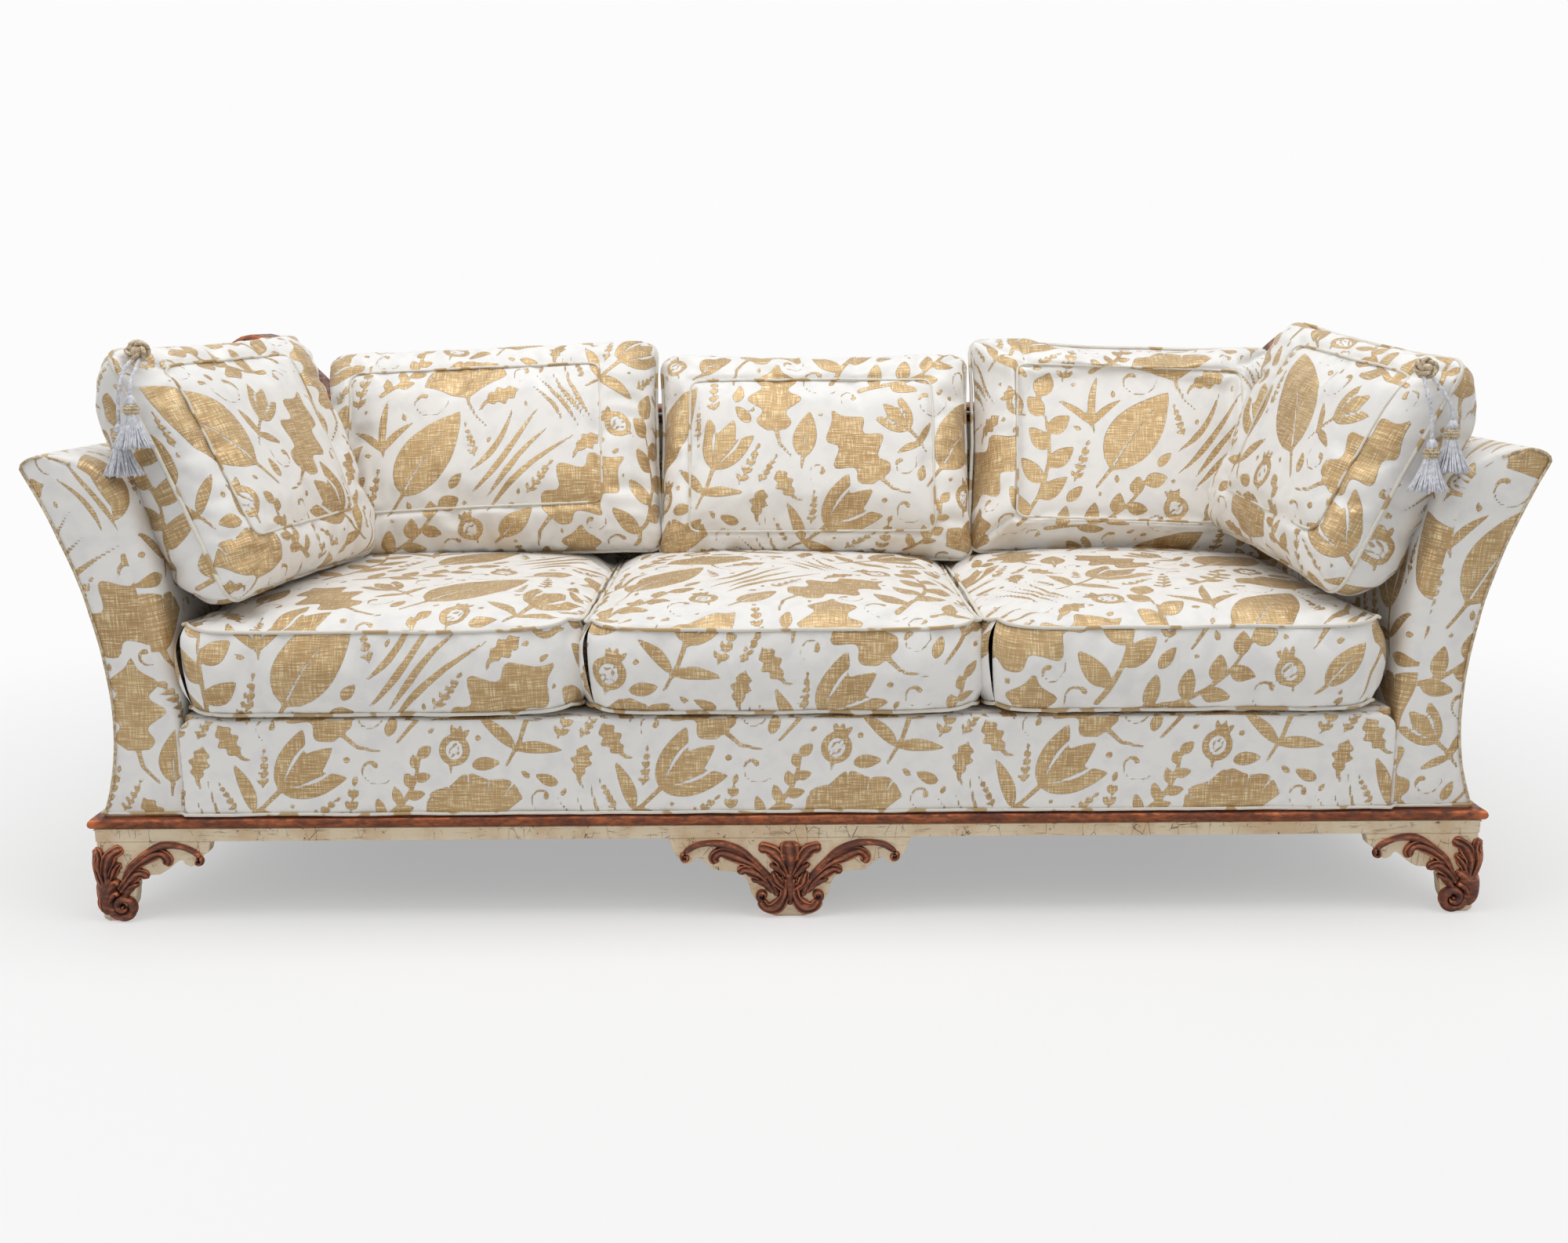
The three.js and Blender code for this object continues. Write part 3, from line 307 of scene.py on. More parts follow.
@dataclass(frozen=True)
class Brocade:
    """Ivory satin with woven gold figures and slubby threads both ways."""

    ground: Colour = linear(238, 236, 232)
    shade: Colour = linear(231, 229, 227)
    gold: Colour = linear(206, 178, 132)
    deep_gold: Colour = linear(168, 134, 88)
    # colour of the painted highlight on the gold threads
    glint_gold: Colour = linear(240, 226, 190)
    edge: float = 0.0005

    def make(self) -> bpy.types.Material:
        """Builds the cloth."""
        s = Surface("brocade")
        cloth = s.place(CLOTH_UV)
        across = s.noise(s.stretched(cloth, (30, 520, 1)), 1, 2)
        along = s.noise(s.stretched(cloth, (480, 34, 1)), 1, 2)
        fray = s.noise(s.stretched(cloth, (500, 260, 1)), 1, 1)
        figure = Value(s, s.node("ShaderNodeAttribute", {"attribute_name": FIGURE}).outputs["Fac"])
        gold = (figure + (fray - 0.5) * 0.0012).between(-self.edge, self.edge)
        tone = s.noise(cloth, 9, 3)
        threads = across.between(0.36, 0.64) * 0.7 + along.between(0.4, 0.66) * 0.3
        # painted highlight: pale gold glints where the across and along threads are both high
        glint = (across * along).between(0.27, 0.36)
        metal = s.blend(threads * 0.7 + tone.between(0.35, 0.6) * 0.3, self.deep_gold, self.gold)
        metal = s.blend(glint * 0.6, metal, self.glint_gold)
        satin = s.blend(s.noise(cloth, 30, 3).between(0.42, 0.7), self.ground, self.shade)
        colour = s.blend(gold, satin, metal)
        crinkle = s.noise(s.stretched(cloth, (100, 30, 1)), 1, 3, 0.55)
        height = crinkle * (0.15 + gold * 1.7) + (across + along) * (0.04 + gold * 0.7) + gold * 0.3
        rough = 0.5 - gold * 0.12 + tone * 0.08
        return s.close(colour, rough, s.bump(height, 0.0012, 0.8), gold * 0.35, Sheen_Weight=0.15, Sheen_Roughness=0.4)


@dataclass(frozen=True)
class Welt:
    """Twisted piping cord in ivory with gold stretches."""

    ivory: Colour = linear(236, 232, 222)
    gold: Colour = linear(190, 158, 106)
    scale: float = 22

    def make(self) -> bpy.types.Material:
        """Builds the piping cloth."""
        s = Surface("welt")
        where = s.place()
        gold = s.noise(where, self.scale, 1).between(0.56, 0.6)
        fine = s.noise(where, 900, 2)
        colour = s.blend(gold, self.ivory, self.gold)
        return s.close(s.blend(fine * 0.35, colour, linear(168, 158, 140)), 0.6, s.bump(fine, 0.0006))


@dataclass(frozen=True)
class PaintedWood:
    """Cream paint, rubbed and cracked through to a grey-brown ground."""

    cream: Colour = linear(230, 213, 183)
    warm: Colour = linear(214, 186, 148)
    worn: Colour = linear(142, 118, 88)
    dirt: Colour = linear(104, 84, 62)

    def make(self) -> bpy.types.Material:
        """Builds the paint."""
        s = Surface("painted wood")
        where = s.place()
        cloud = s.noise(where, 14, 5, 0.6)
        colour = s.blend(cloud.between(0.38, 0.66), self.cream, self.warm)
        streak = s.noise(s.stretched(where, (26, 26, 160)), 1, 4, 0.65)
        colour = s.blend(streak.between(0.57, 0.72) * 0.6, colour, self.worn)
        flake = s.noise(where, 90, 4, 0.7)
        chips = flake.between(0.62, 0.66) * cloud.between(0.42, 0.56)
        colour = s.blend(chips, colour, self.dirt)
        crack = 1 - s.cells(s.stretched(where, (60, 60, 25)), 1).between(0.006, 0.02)
        crack = crack * s.noise(where, 22, 2).between(0.5, 0.6)
        colour = s.blend(crack * 0.8, colour, self.dirt)
        height = 1 - chips * 0.8 - crack + cloud * 0.3
        return s.close(colour, 0.42 + cloud * 0.25, s.bump(height, 0.0008, 0.8), Coat_Weight=0.1)


@dataclass(frozen=True)
class CopperLeaf:
    """Copper-bronze leaf over red-brown bole, rubbed through to the bole in patches, with painted shade darkening the
    hollows and a painted highlight brightening the crests.
    """

    copper: Colour = linear(196, 114, 70)
    bronze: Colour = linear(92, 44, 25)
    bole: Colour = linear(50, 22, 17)
    # near-black colour of the painted shade in the hollows
    recess_shade: Colour = linear(20, 9, 9)
    reach: float = 0.004
    rubbed: float = 0.44
    name: str = "copper leaf"

    def make(self) -> bpy.types.Material:
        """Builds the leaf."""
        s = Surface(self.name)
        where = s.stretched(s.place(), (0.35, 0.35, 1))
        cloud = s.noise(where, 38, 4, 0.6)
        worn = s.noise(where, 150, 4, 0.7)
        # painted shade: ambient occlusion finds the hollows, which are darkened towards the recess colour below
        shade_probe = s.node("ShaderNodeAmbientOcclusion", {"samples": 6, "only_local": True}, {"Distance": self.reach})
        unshaded = Value(s, shade_probe.outputs["AO"])
        edge = s.node("ShaderNodeNewGeometry").outputs["Pointiness"]
        # painted highlight: sharp convex crests, found by pointiness, lean to the bright copper and the rubbed-through
        # bole is kept off them
        crest = Value(s, edge).between(0.5, 0.56)
        leaf = s.blend(cloud.between(0.28, 0.72) * 0.6 + crest * 0.4, self.bronze, self.copper)
        bare = worn.between(self.rubbed - 0.07, self.rubbed + 0.21) * (1 - crest * 0.85)
        colour = s.blend(bare * 0.9, leaf, self.bole)
        # painted shade in the hollows
        colour = s.blend(unshaded.between(0.4, 0.97), self.recess_shade, colour)
        rough = 0.34 + bare * 0.3
        metallic = 0.7 - bare * 0.6
        return s.close(colour, rough, s.bump(worn + cloud, 0.0006, 0.7), metallic)


@dataclass(frozen=True)
class Wood:
    """Plain beech with its grain along X."""

    pale: Colour = linear(205, 166, 120)
    dark: Colour = linear(164, 118, 76)

    def make(self) -> bpy.types.Material:
        """Builds the wood."""
        s = Surface("beech")
        where = s.place()
        grain = s.noise(s.stretched(where, (9, 130, 130)), 1, 5, 0.6)
        flecks = s.noise(s.stretched(where, (70, 600, 600)), 1, 2)
        colour = s.blend(grain.between(0.35, 0.7), self.pale, self.dark)
        colour = s.blend(flecks.between(0.6, 0.75) * 0.5, colour, self.dark)
        return s.close(colour, 0.55 + grain * 0.2, s.bump(grain, 0.0005))


@dataclass(frozen=True)
class PlainWeave:
    """A coarse one-colour cloth, such as jute webbing or cambric."""

    name: str
    low: Colour
    high: Colour
    threads: float
    depth: float

    def make(self) -> bpy.types.Material:
        """Builds the weave."""
        s = Surface(self.name)
        where = s.place()
        x, y = s.axis(where, 0) * self.threads, s.axis(where, 1) * self.threads
        weave = x.sine() * y.sine()
        slub = s.noise(where, 120, 3)
        tone = (weave * 0.5 + slub).between(0.1, 1)
        return s.close(s.blend(tone, self.low, self.high), 0.85, s.bump(tone, self.depth))


@dataclass(frozen=True)
class Strand:
    """Spun thread with a soft shine, for cords, braid and fringe."""

    name: str
    low: Colour
    high: Colour
    shine: float = 0.42

    def make(self) -> bpy.types.Material:
        """Builds the thread."""
        s = Surface(self.name)
        where = s.place()
        hair = s.noise(s.stretched(where, (900, 900, 120)), 1, 2)
        tone = s.noise(where, 160, 3)
        colour = s.blend((hair * 0.6 + tone * 0.6).between(0.42, 0.78), self.low, self.high)
        return s.close(colour, self.shine + hair * 0.2, s.bump(hair, 0.0005), Sheen_Weight=0.2)


@dataclass(frozen=True)
class Finishes:
    """Every material of the sofa, built once."""

    brocade: bpy.types.Material = field(default_factory=lambda: Brocade().make())
    welt: bpy.types.Material = field(default_factory=lambda: Welt().make())
    paint: bpy.types.Material = field(default_factory=lambda: PaintedWood().make())
    leaf: bpy.types.Material = field(default_factory=lambda: CopperLeaf().make())
    carved: bpy.types.Material = field(default_factory=lambda: CopperLeaf(
        copper=linear(214, 130, 88), bole=linear(66, 36, 33), rubbed=0.38, name="carved copper leaf").make())
    beech: bpy.types.Material = field(default_factory=lambda: Wood().make())
    jute: bpy.types.Material = field(default_factory=lambda: PlainWeave("jute", linear(120, 96, 60), linear(186, 158, 112), 1500, 0.001).make())
    cambric: bpy.types.Material = field(default_factory=lambda: PlainWeave("cambric", linear(24, 23, 22), linear(52, 50, 48), 4000, 0.0003).make())
    silver: bpy.types.Material = field(default_factory=lambda: Strand("silver thread", linear(176, 177, 188), linear(238, 239, 242)).make())
    fringe: bpy.types.Material = field(default_factory=lambda: Strand("silver fringe", linear(184, 185, 194), linear(234, 235, 240)).make())
    gold: bpy.types.Material = field(default_factory=lambda: Strand("gold braid", linear(158, 134, 98), linear(228, 212, 184)).make())


# Woven figures


class Weave:
    """The repeat of the brocade: how far each point lies inside a gold figure, in metres."""

    WIDTH, HEIGHT, STEP = 0.60, 0.66, 0.002
    OUTSIDE = -0.03

    def __init__(self) -> None:
        """Draws the repeat."""
        self.columns = round(self.WIDTH / self.STEP)
        self.rows = round(self.HEIGHT / self.STEP)
        self.field = np.full((self.rows, self.columns), self.OUTSIDE)
        self.draw()

    def window(self, points: np.ndarray, margin: float) -> tuple[np.ndarray, np.ndarray, np.ndarray]:
        """Cells about some points.

        Args:
            points: The shape's points.
            margin: How far beyond them it reaches.

        Returns:
            Wrapped row and column numbers, and each cell's place.
        """
        low = np.floor((points.min(0) - margin) / self.STEP).astype(int)
        high = np.ceil((points.max(0) + margin) / self.STEP).astype(int)
        columns, rows = np.arange(low[0], high[0] + 1), np.arange(low[1], high[1] + 1)
        places = np.stack(np.meshgrid(columns * self.STEP, rows * self.STEP), -1)
        return rows % self.rows, columns % self.columns, places

    @staticmethod
    def depth_in_stroke(places: np.ndarray, points: np.ndarray, widths: np.ndarray) -> np.ndarray:
        """Depth inside a line that swells and tapers.

        Args:
            places: Where to measure.
            points: The line.
            widths: Its half width at each point.

        Returns:
            Depth, negative outside.
        """
        best = np.full(places.shape[:2], -1.0)
        for a, b, wa, wb in zip(points[:-1], points[1:], widths[:-1], widths[1:]):
            run = b - a
            t = np.clip(((places - a) @ run) / max(run @ run, 1e-12), 0, 1)
            away = np.linalg.norm(places - (a + t[..., None] * run), axis=-1)
            best = np.maximum(best, wa + (wb - wa) * t - away)
        return best

    @staticmethod
    def depth_in_shape(places: np.ndarray, points: np.ndarray) -> np.ndarray:
        """Depth inside a closed shape.

        Args:
            places: Where to measure.
            points: The outline.

        Returns:
            Depth, negative outside.
        """
        nearest = np.full(places.shape[:2], 1.0)
        inside = np.zeros(places.shape[:2], bool)
        for a, b in zip(points, np.roll(points, -1, 0)):
            run = b - a
            t = np.clip(((places - a) @ run) / max(run @ run, 1e-12), 0, 1)
            nearest = np.minimum(nearest, np.linalg.norm(places - (a + t[..., None] * run), axis=-1))
            crosses = (a[1] > places[..., 1]) != (b[1] > places[..., 1])
            rise = np.where(abs(b[1] - a[1]) < 1e-12, 1e-12, b[1] - a[1])
            inside ^= crosses & (places[..., 0] < a[0] + (places[..., 1] - a[1]) * run[0] / rise)
        return np.where(inside, nearest, -nearest)

    def room(self, figure: "Figure") -> float:
        """How deep a figure would reach into those already drawn.

        Args:
            figure: The figure in place.

        Returns:
            The greatest depth, negative where all is clear.
        """
        every = np.concatenate([points for points, _, cut in figure.parts if not cut])
        deepest = float(self.sample(every).max())
        if deepest > -0.004:
            return deepest
        for points, widths, cut in figure.parts:
            if cut:
                continue
            rows, columns, places = self.window(points, 0.001)
            depth = self.depth_in_shape(places, points) if widths is None else self.depth_in_stroke(places, points, widths)
            here = self.field[np.ix_(rows, columns)][depth > -0.001]
            if here.size:
                deepest = max(deepest, float(here.max()))
        return deepest

    def add(self, figure: "Figure") -> None:
        """Draws a figure into the repeat.

        Args:
            figure: The figure in place.
        """
        every = np.concatenate([points for points, _, _ in figure.parts])
        rows, columns, places = self.window(every, 0.03)
        own = np.full(places.shape[:2], self.OUTSIDE)
        for points, widths, cut in figure.parts:
            depth = self.depth_in_shape(places, points) if widths is None else self.depth_in_stroke(places, points, widths)
            own = np.minimum(own, -depth) if cut else np.maximum(own, depth)
        cells = np.ix_(rows, columns)
        self.field[cells] = np.maximum(self.field[cells], own)

    def draw(self) -> None:
        """Fills the repeat: the large figures first, then sprigs, then dots in the gaps."""
        rng = np.random.default_rng(27)
        plan = [
            ([Figure.leaf, Figure.lobed, Figure.tulip, Figure.fan], 0.118, 7, 0.007, 3000),
            ([Figure.vine, Figure.blades, Figure.lobed], 0.100, 7, 0.006, 5000),
            ([Figure.leaf, Figure.vine, Figure.spray, Figure.tulip, Figure.blades], 0.062, 14, 0.006, 6000),
            ([Figure.sprig, Figure.lobed, Figure.tendril, Figure.pomegranate], 0.042, 22, 0.006, 5000),
            ([Figure.sprig, Figure.bud, Figure.tendril], 0.028, 30, 0.006, 4000),
            ([Figure.bud, Figure.dot], 0.011, 26, 0.006, 2000),
        ]
        for kinds, size, wanted, gap, tries in plan:
            made = 0
            for _ in range(tries):
                if made == wanted:
                    break
                kind = kinds[made % len(kinds)]
                scale = size * rng.uniform(0.85, 1.2)
                place = rng.uniform((0, 0), (self.WIDTH, self.HEIGHT))
                turn = rng.uniform(-1.4, 1.4)
                if self.sample(place[None])[0] > -gap:
                    continue
                figure = kind(scale).moved(turn, place)
                if self.room(figure) < -gap:
                    self.add(figure)
                    made += 1

    def sample(self, places: np.ndarray) -> np.ndarray:
        """Depth at points of the cloth.

        Args:
            places: N by 2, in metres.

        Returns:
            Depth in metres at each.
        """
        grid = places / self.STEP
        low = np.floor(grid).astype(int)
        part = grid - low
        x0, y0 = low[:, 0] % self.columns, low[:, 1] % self.rows
        x1, y1 = (x0 + 1) % self.columns, (y0 + 1) % self.rows
        near = self.field[y0, x0] * (1 - part[:, 0]) + self.field[y0, x1] * part[:, 0]
        far = self.field[y1, x0] * (1 - part[:, 0]) + self.field[y1, x1] * part[:, 0]
        return near * (1 - part[:, 1]) + far * part[:, 1]


@dataclass
class Figure:
    """A woven figure: closed shapes and tapered strokes, some of them cut away."""

    parts: list[tuple[np.ndarray, np.ndarray | None, bool]] = field(default_factory=list)

    def shape(self, points: Iterable[Sequence[float]], cut: bool = False) -> "Figure":
        """Adds a closed shape."""
        self.parts.append((np.array(list(points), float), None, cut))
        return self

    def stroke(self, points: Iterable[Sequence[float]], widths: Sequence[float], cut: bool = False) -> "Figure":
        """Adds a line whose half widths go with its points."""
        line = np.array(list(points), float)
        spread = np.interp(np.linspace(0, 1, len(line)), np.linspace(0, 1, len(widths)), widths)
        self.parts.append((line, spread, cut))
        return self

    def moved(self, turn: float, place: np.ndarray) -> "Figure":
        """The figure turned about its origin and put in place.

        Args:
            turn: Angle in radians.
            place: Where its origin goes.

        Returns:
            The moved copy.
        """
        c, s = math.cos(turn), math.sin(turn)
        spin = np.array([[c, s], [-s, c]])
        return Figure([(points @ spin + place, widths, cut) for points, widths, cut in self.parts])

    @staticmethod
    def petal(base: Sequence[float], turn: float, length: float, width: float, lean: float = 0.0) -> list[tuple[float, float]]:
        """The outline of a petal or leaf.

        Args:
            base: Where it starts.
            turn: Its direction, from +Y towards +X.
            length: Its length.
            width: Its greatest half width.
            lean: How far its tip curls sideways, as a share of the length.

        Returns:
            Outline points.
        """
        c, s = math.cos(turn), math.sin(turn)
        edge = []
        for t in [*np.linspace(0, 1, 13), *np.linspace(1, 0, 13)[1:-1]]:
            edge.append((len(edge) < 13, t))
        out = []
        for right, t in edge:
            x = (1 if right else -1) * width * math.sin(math.pi * t ** 0.8) ** 0.85 + lean * length * t * t
            y = length * t
            out.append((base[0] + x * c + y * s, base[1] - x * s + y * c))
        return out

    @classmethod
    def tulip(cls, size: float) -> "Figure":
        """Cupped petals on a stem between two long leaves."""
        f = cls()
        for hand in (-1, 1):
            f.shape(cls.petal((hand * 0.05 * size, 0), hand * 0.34, size * 0.95, size * 0.19, hand * 0.1))
        f.shape(cls.petal((0, 0), 0, size, size * 0.2))
        for hand in (-1, 1):
            arc = [(hand * size * (0.05 + 0.2 * math.sin(t * 1.9)), size * (0.1 + 0.8 * t)) for t in np.linspace(0, 1, 9)]
            f.stroke(arc, [0.001, 0.0032, 0.001], True)
            f.shape(cls.petal((0, -0.5 * size), hand * 1.0, size * 0.75, size * 0.1, hand * 0.22))
        f.stroke([(0, 0), (0.03 * size, -0.35 * size), (-0.02 * size, -0.8 * size)], [0.0036, 0.003, 0.002])
        return f

    @classmethod
    def fan(cls, size: float) -> "Figure":
        """A fan-shaped leaf with split ribs on a curved stalk."""
        f = cls()
        arc = np.linspace(-1.05, 1.05, 23)
        rim = [(size * (0.92 + 0.05 * math.cos(9 * a)) * math.sin(a), size * (0.92 + 0.05 * math.cos(9 * a)) * math.cos(a)) for a in arc]
        f.shape([(-0.05 * size, 0.05 * size), *rim, (0.05 * size, 0.05 * size)])
        for a in np.linspace(-0.75, 0.75, 5):
            near, far = size * (0.55 + 0.08 * math.cos(7 * a)), size * 1.05
            f.stroke([(near * math.sin(a), near * math.cos(a)), (far * math.sin(a), far * math.cos(a))], [0.0006, 0.0024], True)
        f.stroke([(0, 0.2 * size), (0, -0.1 * size), (0.08 * size, -0.35 * size), (0.25 * size, -0.6 * size)], [0.0034, 0.0026, 0.0016])
        return f

    @classmethod
    def leaf(cls, size: float) -> "Figure":
        """A broad pointed leaf with its midrib cut out."""
        f = cls()
        f.shape(cls.petal((0, -0.6 * size), 0, size * 1.5, size * 0.36, 0.12))
        rib = [(0.12 * 1.5 * size * t * t, size * (1.5 * t - 0.6)) for t in np.linspace(0.05, 0.8, 12)]
        f.stroke(rib, [0.0022, 0.0008], True)
        f.stroke([(0, -0.55 * size), (-0.06 * size, -0.95 * size)], [0.0034, 0.002])
        return f

    @classmethod
    def lobed(cls, size: float) -> "Figure":
        """A leaf with rounded lobes on a bent stalk."""
        f = cls()
        edge = []
        for hand in (1, -1):
            for t in np.linspace(0, 1, 25)[:: hand]:
                wide = size * (0.16 + 0.2 * math.sin(math.pi * t)) * (1 + 0.34 * math.sin(19 * t + 0.4 * hand))
                edge.append((hand * wide * (1 - t ** 6) + 0.1 * size * t * t, size * (1.35 * t - 0.5)))
        f.shape(edge)
        f.stroke([(0, -0.4 * size), (0.06 * size, -0.75 * size), (0.26 * size, -1.0 * size)], [0.0042, 0.003, 0.002])
        return f

    @classmethod
    def vine(cls, size: float) -> "Figure":
        """A long bending stem with leaves by turns and a bud at its end."""
        f = cls()
        stem = [(size * 0.4 * math.sin(2.8 * t), size * (2.4 * t - 1.2)) for t in np.linspace(0, 1, 17)]
        f.stroke(stem, [0.0045, 0.0032, 0.0024])
        for i, (x, y) in enumerate(stem[2:-2:2]):
            hand = 1 if i % 2 else -1
            f.shape(cls.petal((x, y), hand * 1.0, size * (0.66 - 0.04 * i), size * 0.15, -hand * 0.15))
        f.shape(cls.petal(stem[-1], 0.3, size * 0.5, size * 0.17))
        return f

    @classmethod
    def blades(cls, size: float) -> "Figure":
        """Long leaning strokes side by side."""
        f = cls()
        for i, reach in enumerate((0.75, 1.1, 0.9, 1.15)):
            x = (i - 1.5) * 0.26 * size
            line = [(x * (1 + 0.6 * t * t) + 0.08 * size * math.sin(3.4 * t + i), size * (2 * t - 1) * reach) for t in np.linspace(0, 1, 12)]
            f.stroke(line, [0.001, size * 0.06, size * 0.045, 0.001])
        return f

    @classmethod
    def pomegranate(cls, size: float) -> "Figure":
        """A round fruit with a crown and a ring of seeds."""
        f = cls()
        f.shape([(0.62 * size * math.sin(a), 0.66 * size * math.cos(a)) for a in np.linspace(0, 2 * math.pi, 25)[:-1]])
        for turn in (-0.5, 0, 0.5):
            f.shape(cls.petal((0.25 * size * turn, 0.55 * size), turn, size * 0.55, size * 0.11))
        f.shape([(0.36 * size * math.sin(a), 0.42 * size * math.cos(a)) for a in np.linspace(0, 2 * math.pi, 21)[:-1]], True)
        for a in np.linspace(0, 2 * math.pi, 7)[:-1]:
            f.parts.append((np.array([(0.18 * size * math.sin(a), 0.22 * size * math.cos(a))] * 2), np.array([0.0028, 0.0028]), False))
        f.stroke([(0, -0.6 * size), (0.1 * size, -1.0 * size)], [0.003, 0.0015])
        return f

    @classmethod
    def spray(cls, size: float) -> "Figure":
        """Three long curved blades from one root."""
        f = cls()
        for turn, length, lean in ((-0.55, 1.5, -0.3), (0, 1.9, 0.22), (0.6, 1.4, 0.34)):
            f.shape(cls.petal((0, -0.8 * size), turn, size * length, size * 0.13, lean))
        f.stroke([(0, -0.75 * size), (0.05 * size, -1.05 * size)], [0.0035, 0.0018])
        return f

    @classmethod
    def sprig(cls, size: float) -> "Figure":
        """A curved stem with pairs of small leaves."""
        f = cls()
        stem = [(size * 0.3 * math.sin(1.6 * t), size * (2 * t - 1)) for t in np.linspace(0, 1, 10)]
        f.stroke(stem, [0.0018, 0.0013])
        for i, (x, y) in enumerate(stem[1:-1:2]):
            for hand in (-1, 1):
                f.shape(cls.petal((x, y), hand * (0.95 - 0.1 * i), size * (0.5 - 0.05 * i), size * 0.11, -hand * 0.12))
        f.shape(cls.petal(stem[-1], 0.2, size * 0.4, size * 0.1))
        return f

    @classmethod
    def tendril(cls, size: float) -> "Figure":
        """A curling line that ends in a bead."""
        turns = np.linspace(0.15, 1, 22)
        line = [(size * t * math.cos(5.5 * t), size * t * math.sin(5.5 * t)) for t in turns]
        return cls().stroke(line, [0.0042, 0.002, 0.0015, 0.0012])

    @classmethod
    def bud(cls, size: float) -> "Figure":
        """A pointed bud."""
        return cls().shape(cls.petal((0, -size * 0.7), 0, size * 1.5, size * 0.36, 0.1))

    @classmethod
    def dot(cls, size: float) -> "Figure":
        """A round dot."""
        radius = max(0.0035, 0.4 * size)
        return cls([(np.zeros((2, 2)), np.full(2, radius), False)])


# Meshes


def smoothed(obj: bpy.types.Object, angle: float | None = None) -> bpy.types.Object:
    """Shades a mesh smooth, with edges sharper than angle kept, in degrees."""
    mesh = obj.data
    mesh.polygons.foreach_set("use_smooth", np.ones(len(mesh.polygons), bool))
    if angle:
        mesh.set_sharp_from_angle(angle=math.radians(angle))
    mesh.update()
    return obj


def coordinates(obj: bpy.types.Object) -> np.ndarray:
    """An object's vertices, N by 3."""
    flat = np.empty(len(obj.data.vertices) * 3, np.float32)
    obj.data.vertices.foreach_get("co", flat)
    return flat.reshape(-1, 3).astype(float)


def set_coordinates(obj: bpy.types.Object, points: np.ndarray) -> None:
    """Moves an object's vertices."""
    obj.data.vertices.foreach_set("co", points.astype(np.float32).ravel())
    obj.data.update()


def normals(obj: bpy.types.Object) -> np.ndarray:
    """An object's vertex normals, N by 3."""
    flat = np.empty(len(obj.data.vertices) * 3, np.float32)
    obj.data.vertex_normals.foreach_get("vector", flat)
    return flat.reshape(-1, 3).astype(float)


def settled(obj: bpy.types.Object) -> bpy.types.Object:
    """Applies an object's modifiers.

    Args:
        obj: A mesh object.

    Returns:
        The same object.
    """
    graph = bpy.context.evaluated_depsgraph_get()
    mesh = bpy.data.meshes.new_from_object(obj.evaluated_get(graph), preserve_all_data_layers=True, depsgraph=graph)
    old = obj.data
    obj.modifiers.clear()
    obj.data = mesh
    bpy.data.meshes.remove(old)
    mesh.name = obj.name
    return obj


def ripple(places: np.ndarray, seed: int, size: float) -> np.ndarray:
    """Gentle waves through space, about -1 to 1.

    Args:
        places: N by 3 or N by 2.
        seed: Picks the waves.
        size: Length of the longest in metres.

    Returns:
        One number for each place.
    """
    rng = np.random.default_rng(seed)
    total = np.zeros(len(places))
    for octave in (1, 1, 1, 2, 2, 4):
        way = rng.normal(size=places.shape[1])
        way /= np.linalg.norm(way)
        total += np.sin(places @ way * 2 * math.pi * octave / size + rng.uniform(0, 6.3)) / octave
    return total / 3


class Quilt:
    """Grids of points sewn into one mesh, with a cloth map in metres."""

    def __init__(self) -> None:
        """Starts with no grids."""
        self.points: list[np.ndarray] = []
        self.quads: list[np.ndarray] = []
        self.cloth: list[np.ndarray] = []
        self.count = 0

    def add(self, points: np.ndarray, cloth: np.ndarray | None = None) -> "Quilt":
        """Adds a grid.

        Args:
            points: Rows by columns by 3.
            cloth: Rows by columns by 2, in metres.

        Returns:
            The quilt.
        """
        rows, columns = points.shape[:2]
        numbers = self.count + np.arange(rows * columns).reshape(rows, columns)
        corners = [numbers[:-1, :-1], numbers[1:, :-1], numbers[1:, 1:], numbers[:-1, 1:]]
        self.quads.append(np.stack(corners, -1).reshape(-1, 4))
        self.points.append(points.reshape(-1, 3))
        self.cloth.append(np.zeros((rows * columns, 2)) if cloth is None else cloth.reshape(-1, 2))
        self.count += rows * columns
        return self

    def sewn(self, name: str, weld: float = 2e-5) -> bpy.types.Object:
        """Makes the object, with points that coincide welded.

        Args:
            name: The object's name.
            weld: How close they lie.

        Returns:
            The object, its faces turned outwards.
        """
        points, quads, cloth = np.concatenate(self.points), np.concatenate(self.quads), np.concatenate(self.cloth)
        keys = np.round(points / weld + 0.137).astype(np.int64)
        _, first, inverse = np.unique(keys, axis=0, return_index=True, return_inverse=True)
        inverse = inverse.reshape(-1)
        places = points[first]
        faces, maps = [], []
        for face, corner in zip(inverse[quads].tolist(), quads.tolist()):
            kept = [i for i in range(4) if face[i] != face[i - 1]]
            if len(kept) > 2 and len({face[i] for i in kept}) == len(kept):
                faces.append([face[i] for i in kept])
                maps += [corner[i] for i in kept]
        mesh = bpy.data.meshes.new(name)
        mesh.from_pydata(places.tolist(), [], faces)
        layer = mesh.uv_layers.new(name=CLOTH_UV)
        layer.data.foreach_set("uv", cloth[maps].astype(np.float32).ravel())
        shape = bmesh.new()
        shape.from_mesh(mesh)
        bmesh.ops.recalc_face_normals(shape, faces=shape.faces)
        shape.to_mesh(mesh)
        shape.free()
        obj = bpy.data.objects.new(name, mesh)
        bpy.context.scene.collection.objects.link(obj)
        return smoothed(obj)


